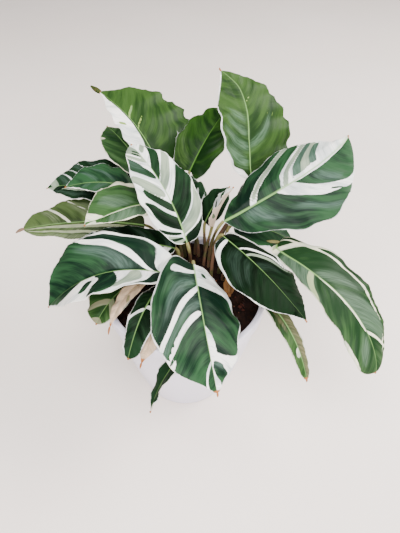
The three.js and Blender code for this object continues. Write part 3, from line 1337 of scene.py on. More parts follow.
    def surface(self, along: Array, columns: Array) -> tuple[Array, Array]:
        """The blade's middle surface.

        Args:
            along: Shares of the length, one for each station.
            columns: Places across, one for each column.

        Returns:
            Points and section normals, station by column by three.
        """
        spine = self.spine(along)
        place = columns + self.shifts(along)[:, None] * (1 - np.abs(columns))
        right = (place > 0).astype(int)
        side = np.where(right, 1.0, -1.0)
        reach = np.abs(place)
        fold = np.radians(np.array(self.fold))[right]
        curl = np.radians(np.array(self.curl))[right]
        half = np.array(self.half)[right]
        shares = np.stack([self.width_share(along, own) for own in Side], axis=1)
        share = np.take_along_axis(shares, right, axis=1)
        width = share * half * self._ragged(along, columns)
        back = np.array(self.lobe)[right] * reach**2 * ramp(share, 0.0, 0.5)
        back = back * (1 - ramp(along, 0.0, 0.35))[:, None]
        slope = fold - curl * reach
        out = width * (np.sin(fold) - np.sin(slope)) / curl
        lift = width * (np.cos(slope) - np.cos(fold)) / curl
        height, count, phase = self.wave
        turn = count * along[:, None] + phase + BLADE.wave_shift * right
        swell = np.sqrt(np.sin(math.pi * along))[:, None]
        lift = lift + height * np.sin(FULL_TURN * turn) * reach**2 * swell
        points = (
            spine.at[:, None, :]
            + spine.right[:, None, :] * (side * out)[..., None]
            + spine.up[:, None, :] * lift[..., None]
            - spine.ahead[:, None, :] * back[..., None]
        )
        normals = (
            spine.up[:, None, :] * np.cos(slope)[..., None]
            - spine.right[:, None, :] * (side * np.sin(slope))[..., None]
        )
        return points, normals

    def _ragged(self, along: Array, columns: Array) -> Array:
        """How much wider or narrower the blade is than its even outline.

        Args:
            along: Shares of the length.
            columns: Places across.

        Returns:
            A factor for each station and column.
        """
        factor = np.ones((len(along), len(columns)))
        for side in Side:
            ripple = Ripple(self.seed + 7 * side.value, 4, 3.0).at(along) * BLADE.unevenness
            bumps = 0.5 - np.abs(np.sin(math.pi * BLADE.scallops * along + side.value)) ** 0.8
            bumps = bumps * self.scallop[side.value] / max(self.half)
            fade = ramp(along, 0.05, 0.25) * (1 - ramp(along, 0.9, 1.0))
            outward = np.abs(columns) ** 2 * side.holds(columns)
            factor += ((ripple + bumps) * fade)[:, None] * outward[None, :]
        return factor

    def values(self, along: Array, columns: Array) -> dict[str, Array]:
        """Everything that the finish reads at the points of the upper face.

        Args:
            along: Shares of the length.
            columns: Places across.

        Returns:
            Tables of numbers, station by column, by the value's name.
        """
        tables = {
            name: np.zeros((len(along), len(columns)))
            for name in ("vein", "across", "pale", "milky", "hazy", "rib", "edge")
        }
        rib_half = (self.rib - BLADE.rib_taper * along)[:, None]
        for side in Side:
            share = self.width_share(along, side)[:, None]
            picked = side.holds(columns) | ((columns == 0) & (side is Side.RIGHT))
            reach = np.abs(columns[picked])[None, :] + 0 * share
            half = self.own_half(side, along)[:, None]
            across = reach * share * half
            vein = self.vein_place(along[:, None] + 0 * reach, across, side)
            marks = self._painted(side, vein, reach, half)
            waver = 0.65 + 0.75 * Ripple(self.seed + side.value, 5, 2.5).at(along)[:, None]
            edge = (1 - reach) * share * half
            rim = self.margin[side.value] * np.clip(waver, 0.15, 2.0) - edge
            marks[PALE] = np.maximum(marks[PALE], rim)
            for mark, depth in marks.items():
                tables[mark.value][:, picked] = depth
            tables["vein"][:, picked] = vein * self.length + BLADE.half_grain * side.value
            tables["across"][:, picked] = across
            tables["rib"][:, picked] = rib_half - across
            tables["edge"][:, picked] = edge
        tables["vein"] += self.grain_start
        return tables

    def _painted(self, side: Side, vein: Array, reach: Array, half: Array) -> dict[Mark, Array]:
        """Lays the strokes of one half over each other, in order.

        Args:
            side: The half.
            vein: Where each point's vein leaves the midrib.
            reach: Each point's share of the half's width.
            half: The half's width.

        Returns:
            Depths inside each tone but green, in millimetres.
        """
        depths = {mark: np.full(vein.shape, UNMARKED) for mark in (SHEEN, MILKY, PALE)}
        for stroke in self.strokes:
            if stroke.side is not side:
                continue
            depth = stroke.depth(vein, reach, self.length, half)
            layers = list(depths)
            rank = layers.index(stroke.mark) if stroke.mark in layers else -1
            over = [depths[mark] for mark in layers[rank + 1:]]
            if rank >= 0:
                before = depths[stroke.mark]
                under = [np.minimum(depth + BLEED, layer) for layer in over]
                depths[stroke.mark] = np.maximum.reduce([before, depth, *under])
            for mark in layers[rank + 1:]:
                depths[mark] = np.minimum(depths[mark], -depth)
        return {mark: np.clip(depth, UNMARKED, -UNMARKED) for mark, depth in depths.items()}

    def relief(self, tables: dict[str, Array], along: Array, columns: Array) -> Array:
        """How far the fine form stands out from the even surface.

        Args:
            tables: The values of the upper face.
            along: Shares of the length.
            columns: Places across.

        Returns:
            Heights along the section normals, in millimetres.
        """
        reach = np.abs(columns)[None, :]
        calm = ramp(along, 0.0, 0.12)[:, None] * (1 - ramp(along, 0.88, 1.0))[:, None]
        pleats = np.sin(FULL_TURN * tables["vein"] / BLADE.pleat)
        height = BLADE.pleat_height * pleats * ramp(reach, 0.05, 0.35) * calm
        for side in Side:
            line = Ripple(self.seed + 31 + side.value, 4, 3.5).at(along)[:, None]
            outward = reach**3 * side.holds(columns)
            height = height + BLADE.ripple_height * line * outward * calm
        groove = np.exp(-((tables["across"] / BLADE.groove_width) ** 2))
        return height - BLADE.groove_depth * groove * (1 - BLADE.groove_taper * along)[:, None]

    def build(self) -> Object:
        """Makes the leaf's mesh: stalk, blade and tail under one closed skin.

        Returns:
            The leaf's piece.
        """
        shape = Shape()
        row = len(self.columns())
        self._add_stalk(shape, row)
        self._add_blade(shape)
        self._add_tail(shape, row)
        self._close(shape, 2 * row)
        return shape.piece(self.name + "_fine")

    def _add_blade(self, shape: Shape) -> None:
        """Adds the blade's rings, each over the upper face and back below.

        Args:
            shape: The leaf's shape so far.
        """
        along, columns = self.stations(), self.columns()
        points, normals = self.surface(along, columns)
        tables = self.values(along, columns)
        points = points + normals * self.relief(tables, along, columns)[..., None]
        reach = np.abs(columns)[None, :]
        half_thick = (BLADE.thickness + (BLADE.edge_thickness - BLADE.thickness) * reach**3) / 2
        keel = BLADE.keel_depth * np.exp(-((tables["across"] / BLADE.keel_width) ** 2))
        keel = keel * (1 - BLADE.keel_taper * along)[:, None]
        upper = points + normals * half_thick[..., None]
        lower = points - normals * (half_thick + keel)[..., None]
        dry = ramp(along, 1 - self.dry_tip / self.length, 1.0)[:, None] + 0 * reach
        to_edge = 1 - ramp(tables.pop("edge"), 0.0, BLADE.dry_edge_width)
        near_edge = BLADE.dry_edge * to_edge * ramp(along, 0.4, 0.95)[:, None]
        tables["dry"] = np.maximum(dry, near_edge)
        tables["fresh"] = self.fresh + 0.4 * (along[:, None] - 0.4) + 0.12 * ramp(reach, 0.5, 1.0)
        values = {
            name: np.concatenate([table, table[:, ::-1]], axis=1).reshape(-1)
            for name, table in tables.items()
        }
        under = np.arange(2 * len(columns)) >= len(columns)
        values["under"] = np.tile(under, len(along)) * 1.0
        rings = np.concatenate([upper, lower[:, ::-1]], axis=1)
        shape.add_points(rings.reshape(-1, 3) * MM, **values, stalk=0.0, neck=0.0)

    def stalk_path(self) -> Array:
        """The stalk's middle line from under the soil to the blade.

        Returns:
            Points in millimetres.
        """
        start = np.array([*self.foot, SOIL_LEVEL - STALK.depth])
        lip = np.array([*self.foot, SOIL_LEVEL + STALK.upright])
        spine = self.spine(np.array([0.0]))
        end, ahead = spine.at[0], spine.ahead[0]
        gap = float(np.linalg.norm(end - lip))
        rise = lip + UP * gap * STALK.rise_share
        lead = end - ahead * gap * STALK.lead_share
        t = np.linspace(0.0, 1.0, STALK.rings)[:, None]
        curve = (1 - t) ** 3 * lip + 3 * t * (1 - t) ** 2 * rise
        curve = curve + 3 * t**2 * (1 - t) * lead + t**3 * end
        return np.concatenate([[start], [(start + lip) / 2], curve])

    def _add_stalk(self, shape: Shape, row: int) -> None:
        """Adds the stalk's rings, from the soil up.

        Args:
            shape: The leaf's shape so far.
            row: How many points the upper row of a ring has.
        """
        path = self.stalk_path()
        count = len(path)
        steps = np.linalg.norm(np.diff(path, axis=0), axis=1)
        to_end = np.concatenate([np.cumsum(steps[::-1])[::-1], [0.0]])
        up = self.spine(np.array([0.0])).up[0]
        rings = []
        for k in range(count - 1, -1, -1):
            ahead = unit(path[min(k + 1, count - 1)] - path[max(k - 1, 0)])
            up = unit(up - ahead * up.dot(ahead))
            radius = STALK.foot_radius + (STALK.neck_radius - STALK.foot_radius) * k / (count - 1)
            joint = ramp(to_end[k], 0.6 * STALK.joint_length, STALK.joint_length)
            radius = radius + STALK.joint_swell * (1 - joint)
            rings.append(round_ring(path[k], np.cross(ahead, up), up, radius, radius, row))
        neck = 1 - ramp(to_end, 0.7 * STALK.joint_length, 1.2 * STALK.joint_length)
        size = 2 * row
        turn = np.tile(np.arange(size) / size, count)
        height = np.repeat(np.cumsum(np.concatenate([[0.0], steps])), size)
        shape.add_points(
            np.concatenate(rings[::-1]) * MM, vein=turn * STALK.grain_turn + self.grain_start,
            across=height, **NO_MARKS, dry=0.0, fresh=0.0, under=0.0, stalk=1.0,
            neck=np.repeat(neck, size),
        )

    def _add_tail(self, shape: Shape, row: int) -> None:
        """Adds the thin dried tail beyond the tip.

        Args:
            shape: The leaf's shape so far.
            row: How many points the upper row of a ring has.
        """
        spine = self.spine(np.array([1.0]))
        at, ahead, up, right = spine.at[0], spine.ahead[0], spine.up[0], spine.right[0]
        count = BLADE.tail_rings
        rings = []
        for k in range(count):
            share = k / (count - 1)
            angle = math.radians(self.tail_droop) * share
            forward = ahead * math.cos(angle) - up * math.sin(angle)
            if k:
                at = at + forward * self.tail / (count - 1)
            lift = unit(up * math.cos(angle) + ahead * math.sin(angle))
            wide = self.tail_half * math.sin(math.pi * (0.3 + 0.6 * share))
            rings.append(round_ring(at, right, lift, wide, 0.8 * wide, row))
        size = 2 * row * count
        shape.add_points(
            np.concatenate(rings) * MM, vein=0.0, across=np.arange(size) / size, **NO_MARKS,
            dry=self.tail_dry, fresh=0.0, under=0.0, stalk=0.0, neck=0.0,
        )

    def _close(self, shape: Shape, size: int) -> None:
        """Joins the rings into one skin and closes it at the foot and at the end of the tail.

        Args:
            shape: The leaf's shape, with all its rings.
            size: How many points a ring has.
        """
        rings = shape.count // size
        shape.skin(0, rings, size)
        plain = {name: 0.0 for name in shape.values}
        end = shape.points[-1][-size:].mean(axis=0)
        foot = np.array([*self.foot, SOIL_LEVEL - STALK.depth]) * MM
        shape.cap(foot, 0, size, outward=False, **plain)
        plain["dry"] = self.tail_dry
        shape.cap(end, (rings - 1) * size, size, outward=True, **plain)

    def dress(self, piece: Object, materials: dict[str, Material]) -> None:
        """Gives the leaf its finish and its place in the frame.

        Args:
            piece: The leaf's piece.
            materials: The leaves' materials by their finishes' names.
        """
        piece.data.materials.append(materials[self.finish.name])
        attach(piece, "root")
        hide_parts(self.name)


def round_ring(middle: Array, side: Array, up: Array, wide: float, high: float, row: int) -> Array:
    """A round or oval ring whose points run like a blade's, over the top and back below.

    Args:
        middle: The ring's middle.
        side: The direction to its right.
        up: The direction to its top.
        wide: Its half width.
        high: Its half height.
        row: How many points its upper half has.

    Returns:
        The ring's points.
    """
    angle = math.pi * (1 - (np.arange(2 * row) + 0.5) / row)[:, None]
    return middle + side * wide * np.cos(angle) + up * high * np.sin(angle)


# ---- the leaves of this plant ----

FRONT_STROKES = (
    Stroke(L, PALE, 0.5, 1.6, -0.4, 1.6),
    Stroke(L, GREEN, 0.46, 0.54, -0.4, 1.25, -0.12, 0.05, 0.8, rounding=7.0),
    Stroke(L, PALE, 0.62, 0.17, -0.2, 0.22, 0.4, rounding=2.0),
    Stroke(L, GREEN, 0.09, 0.035, 0.3, 0.55, 0.03),
    Stroke(L, GREEN, 0.83, 0.12, 0.02, 1.2, 0.06),
    Stroke(L, SHEEN, 0.8, 0.04, 0.05, 0.5),
    Stroke(R, PALE, 0.075, 0.034, outer=0.86, slant=-0.01, bend=0.036),
    Stroke(R, SHEEN, 0.16, 0.06, 0.1, 0.75, bend=0.04),
    Stroke(R, PALE, 0.23, 0.055, slant=0.03, bend=0.065),
    Stroke(R, SHEEN, 0.36, 0.05, slant=-0.03, bend=0.03),
    Stroke(R, PALE, 0.44, 0.055, 0.0, 1.05, -0.03, 0.02),
    Stroke(R, GREEN, 0.425, 0.012, 0.55, 1.1, -0.02),
    Stroke(R, PALE, 0.5, 0.05, 0.8, 1.3),
    Stroke(R, PALE, 0.8, 0.026, slant=0.13, bend=0.02),
)
FRONT_LEFT_STROKES = (
    Stroke(L, PALE, 0.5, 1.7, 0.02, 1.6),
    Stroke(L, GREEN, 0.95, 0.74, -0.3, 1.6, 0.14, taper=0.6),
    Stroke(L, GREEN, -0.04, 0.17, 0.12, 1.15, 0.08),
    Stroke(L, GREEN, 0.455, 0.17, -0.3, 1.05, -0.24, taper=0.8),
    Stroke(L, MILKY, 0.2, 0.09, 0.05, 0.85, -0.04),
    Stroke(L, PALE, 0.545, 0.15, 0.14, 0.9, -0.12),
    Stroke(L, GREEN, 0.555, 0.08, 0.2, 0.72, -0.12),
    Stroke(R, PALE, -0.16, 0.37, -0.2, 1.6, 0.026, 0.027),
    Stroke(R, PALE, 0.055, 0.05, -0.1, 1.05, 0.07, 0.095, taper=1.6),
    Stroke(R, SHEEN, 0.26, 0.12, 0.05, 0.8, 0.02, 0.02),
)
FRONT_RIGHT_STROKES = (
    Stroke(L, PALE, 0.03, 0.34, 0.84, 1.6),
    Stroke(L, PALE, 0.2, 0.022, -0.1, 1.1, 0.0, 0.02, taper=2.0),
    Stroke(L, MILKY, 0.29, 0.03, -0.1, 1.1, 0.0, 0.01, taper=2.0),
    Stroke(L, SHEEN, 0.43, 0.06, -0.2, 0.5),
    Stroke(R, SHEEN, 0.02, 0.05, 0.2, 0.9),
    Stroke(R, PALE, 0.06, 0.036, 0.0, 1.2, 0.03),
    Stroke(R, SHEEN, 0.22, 0.1, 0.05, 0.85),
    Stroke(R, SHEEN, 0.34, 0.06, 0.1, 0.65),
)
DROOPING_STROKES = (
    Stroke(L, GREEN, 0.0, 0.08, 0.2, 0.8),
    Stroke(L, PALE, 0.04, 0.035),
    Stroke(R, MILKY, 0.0, 0.1, 0.1),
    Stroke(R, PALE, 0.045, 0.03),
    Stroke(R, SHEEN, 0.15, 0.12),
    Stroke(L, SHEEN, 0.32, 0.1, 0.0, 0.6),
    Stroke(L, PALE, 0.36, 0.95, 0.72, 0.84, rounding=1.0),
    Stroke(L, SHEEN, 0.6, 0.32, -0.2, 0.85),
    Stroke(L, PALE, 0.765, 0.03, -0.2, 1.1),
    Stroke(R, SHEEN, 0.24, 0.12, -0.1, 1.4, -0.03),
    Stroke(R, MILKY, 0.28, 0.04, -0.1, 1.1, -0.03),
    Stroke(R, PALE, 0.64, 0.28, 0.86, 1.3, rounding=1.0),
    Stroke(R, PALE, 0.54, 0.44, -0.2, 0.12, rounding=1.5),
    Stroke(R, SHEEN, 0.78, 0.1, 0.1, 0.7),
)
RIGHT_LARGE_STROKES = (
    Stroke(L, PALE, 0.215, 0.06, -0.1, 1.4, 0.09, 0.03, taper=1.5),
    Stroke(L, MILKY, 0.215, 0.04, 0.05, 1.4, 0.09, 0.03, taper=1.5),
    Stroke(L, GREEN, 0.35, 0.014, 0.5, 1.6),
    Stroke(L, PALE, 0.72, 0.62, -0.5, 1.9, 0.09, 0.02),
    Stroke(L, MILKY, 0.46, 0.036, -0.3, 1.6, 0.09, 0.03, taper=1.6),
    Stroke(L, SHEEN, 0.56, 0.09, -0.6, 1.4, 0.08, 0.02),
    Stroke(L, MILKY, 0.615, 0.07, -0.6, 1.7, 0.08, 0.02),
    Stroke(L, SHEEN, 0.69, 0.06, -0.3, 0.9, 0.06),
    Stroke(L, PALE, 0.95, 0.2, -0.3),
    Stroke(L, PALE, 0.8, 0.65, -0.2, 0.08, rounding=1.0),
    Stroke(R, SHEEN, 0.19, 0.1, 0.05, 0.65),
    Stroke(R, SHEEN, 0.33, 0.07, 0.45, 1.0, 0.05),
    Stroke(R, PALE, 0.45, 0.16, -0.2, 1.4, 0.26, -0.025, taper=0.6),
    Stroke(R, GREEN, 0.53, 0.02, 0.5, 0.85, 0.06),
    Stroke(R, SHEEN, 0.66, 0.07, 0.1, 0.6, 0.04),
    Stroke(R, PALE, 0.74, 0.5, -0.2, 0.05, rounding=1.0),
)
TOP_RIGHT_STROKES = (
    Stroke(L, SHEEN, 0.14, 0.08, 0.15, 0.95),
    Stroke(L, SHEEN, 0.27, 0.06, 0.05, 0.85),
    Stroke(L, SHEEN, 0.4, 0.05, 0.1, 0.75),
    Stroke(L, SHEEN, 0.52, 0.05, 0.05, 0.6),
    Stroke(L, PALE, 0.02, 0.1, 0.45),
    Stroke(L, PALE, 0.14, 0.36, 0.93, 1.3, rounding=1.0),
    Stroke(R, SHEEN, 0.28, 0.06, 0.0, 0.55, 0.04),
    Stroke(R, MILKY, 0.36, 0.01, 0.45, 0.62),
    Stroke(R, MILKY, 0.27, 0.012, 0.6, 0.75),
    Stroke(R, MILKY, 0.66, 0.014, 0.0, 0.25, 0.06),
)
TOP_LEFT_STROKES = (
    Stroke(L, PALE, 0.55, 0.95, 0.1, 1.6, rounding=6.0),
    Stroke(L, GREEN, 0.9, 0.14, -0.2, 0.4),
    Stroke(L, MILKY, 0.47, 0.06, 0.45, 0.8),
    Stroke(L, PALE, 0.08, 0.05, 0.3, 1.3),
    Stroke(R, MILKY, 0.43, 0.02, -0.1, 0.3),
    Stroke(R, MILKY, 0.58, 0.03, -0.1, 0.34),
    Stroke(R, PALE, 0.0, 0.05, 0.54, 0.68),
    Stroke(L, GREEN, 0.62, 0.016, 0.8, 1.2),
    Stroke(L, GREEN, 0.5, 0.012, 0.85, 1.2),
)
UPRIGHT_STROKES = (
    Stroke(L, PALE, 0.5, 1.8, -0.4, 1.6),
    Stroke(L, MILKY, 0.02, 0.05, 0.1, 1.0),
    Stroke(L, GREEN, 0.08, 0.022, 0.1, 1.3, -0.02),
    Stroke(L, GREEN, 0.045, 0.016, 0.15, 1.1, -0.03),
    Stroke(L, GREEN, 0.015, 0.018, -0.1, 1.2, -0.04),
    Stroke(L, GREEN, 0.165, 0.125, -0.2, 0.9, 0.02),
    Stroke(L, GREEN, 0.31, 0.09, -0.1, 0.8, 0.02),
    Stroke(L, MILKY, 0.44, 0.13, 0.06, 1.3),
    Stroke(L, GREEN, 0.62, 0.12, 0.02, 1.4, 0.03),
    Stroke(L, SHEEN, 0.66, 0.12, 0.3, 1.4, 0.03),
    Stroke(L, MILKY, 0.86, 0.2, -0.2, 1.6),
    Stroke(L, PALE, 0.82, 0.03, 0.1, 1.0),
    Stroke(L, GREEN, 0.85, 0.026, 0.05, 0.6),
    Stroke(L, GREEN, 0.89, 0.026, -0.1, 0.5),
    Stroke(R, PALE, 0.5, 1.8, -0.4, 1.6),
    Stroke(R, GREEN, 0.015, 0.1, -0.1, 1.3),
    Stroke(R, MILKY, 0.115, 0.09, -0.2, 1.3, 0.01),
    Stroke(R, GREEN, 0.265, 0.225, -0.4, 1.5, 0.03, 0.015),
    Stroke(R, MILKY, 0.525, 0.13, -0.1, 1.5, 0.05),
    Stroke(R, GREEN, 0.655, 0.15, -0.3, 1.5, 0.13),
    Stroke(R, MILKY, 0.88, 0.06, 0.1, 1.0),
)
LIGHT_STROKES = (
    Stroke(L, SHEEN, 0.3, 0.9, 0.0, 1.1),
    Stroke(L, PALE, 0.1, 0.26, 0.15, 1.6, 0.05),
    Stroke(L, PALE, 0.95, 0.12, 0.02),
    Stroke(L, PALE, 0.5, 0.7, -0.1, 0.12, rounding=1.0),
    Stroke(R, PALE, 0.05, 0.12, 0.35, 1.5),
    Stroke(R, GREEN, 0.15, 0.06, -0.1, 1.5),
    Stroke(R, SHEEN, 0.5, 0.26, 0.1, 0.75),
    Stroke(R, PALE, 0.86, 0.14, -0.1, 1.5, 0.05),
)
HIGH_STROKES = (
    Stroke(L, SHEEN, 0.5, 0.1, 0.05, 0.85),
    Stroke(L, SHEEN, 0.7, 0.05, 0.05, 0.7),
    Stroke(R, SHEEN, 0.35, 0.05, 0.1, 0.9),
    Stroke(R, SHEEN, 0.6, 0.06, 0.1, 0.7),
)
BACK_STRIPED_STROKES = (
    Stroke(L, MILKY, 0.45, 0.6, 0.3, 0.52, rounding=1.0),
    Stroke(L, SHEEN, 0.55, 0.5, 0.62, 0.85, rounding=1.0),
    Stroke(L, MILKY, 0.92, 0.1),
    Stroke(R, SHEEN, 0.2, 0.06),
    Stroke(R, PALE, 0.36, 0.02, slant=0.05),
    Stroke(R, SHEEN, 0.47, 0.06),
    Stroke(R, PALE, 0.55, 0.022, slant=0.05),
    Stroke(R, PALE, 0.68, 0.026, slant=0.04),
    Stroke(R, SHEEN, 0.77, 0.06),
    Stroke(R, MILKY, 0.9, 0.09),
)
PALE_STROKES = (
    Stroke(L, GREEN, 0.2, 0.3, -0.1, 1.5),
    Stroke(L, MILKY, 0.55, 0.9, 0.12, 0.34, rounding=0.8),
    Stroke(L, MILKY, 0.5, 1.0, 0.48, 0.66, rounding=0.8),
    Stroke(L, SHEEN, 0.5, 0.9, 0.74, 0.96, rounding=0.8),
    Stroke(R, SHEEN, 0.38, 0.16, 0.0, 0.9),
    Stroke(R, PALE, 0.62, 0.035, -0.1, 1.1, 0.02, 0.02),
    Stroke(R, SHEEN, 0.72, 0.05, 0.1, 0.9),
    Stroke(R, PALE, 0.4, 0.016, 0.4, 1.1),
)
LOW_STROKES = (
    Stroke(L, MILKY, 0.52, 0.15, slant=0.04),
    Stroke(L, MILKY, 0.96, 0.16, -0.2, 1.6),
    Stroke(R, MILKY, 0.56, 0.15, slant=0.05),
    Stroke(R, MILKY, 0.96, 0.16, -0.2, 1.6),
)
RIM_LEFT_STROKES = (
    Stroke(L, PALE, 0.38, 0.05, slant=-0.1),
    Stroke(R, PALE, 0.42, 0.055, slant=0.03),
)
ALL_PALE = (Stroke(L, PALE, 0.5, 1.6), Stroke(R, PALE, 0.5, 1.6))
WHITE_STROKES = (*ALL_PALE, Stroke(L, SHEEN, 0.55, 0.08, 0.2))
RIM_RIGHT_STROKES = (
    Stroke(L, SHEEN, 0.45, 1.2, 0.0, 1.3),
    Stroke(R, PALE, 0.72, 0.09, -0.3, 0.6),
    Stroke(R, SHEEN, 0.3, 0.3, 0.1, 0.6),
)
CENTRE_STROKES = (
    *ALL_PALE,
    Stroke(L, GREEN, 0.36, 0.12, 0.2, 0.9),
    Stroke(L, GREEN, 0.62, 0.14, 0.3, 1.1),
    Stroke(R, GREEN, 0.55, 0.2, 0.3, 0.9),
    Stroke(R, SHEEN, 0.25, 0.1, 0.1, 0.8),
)

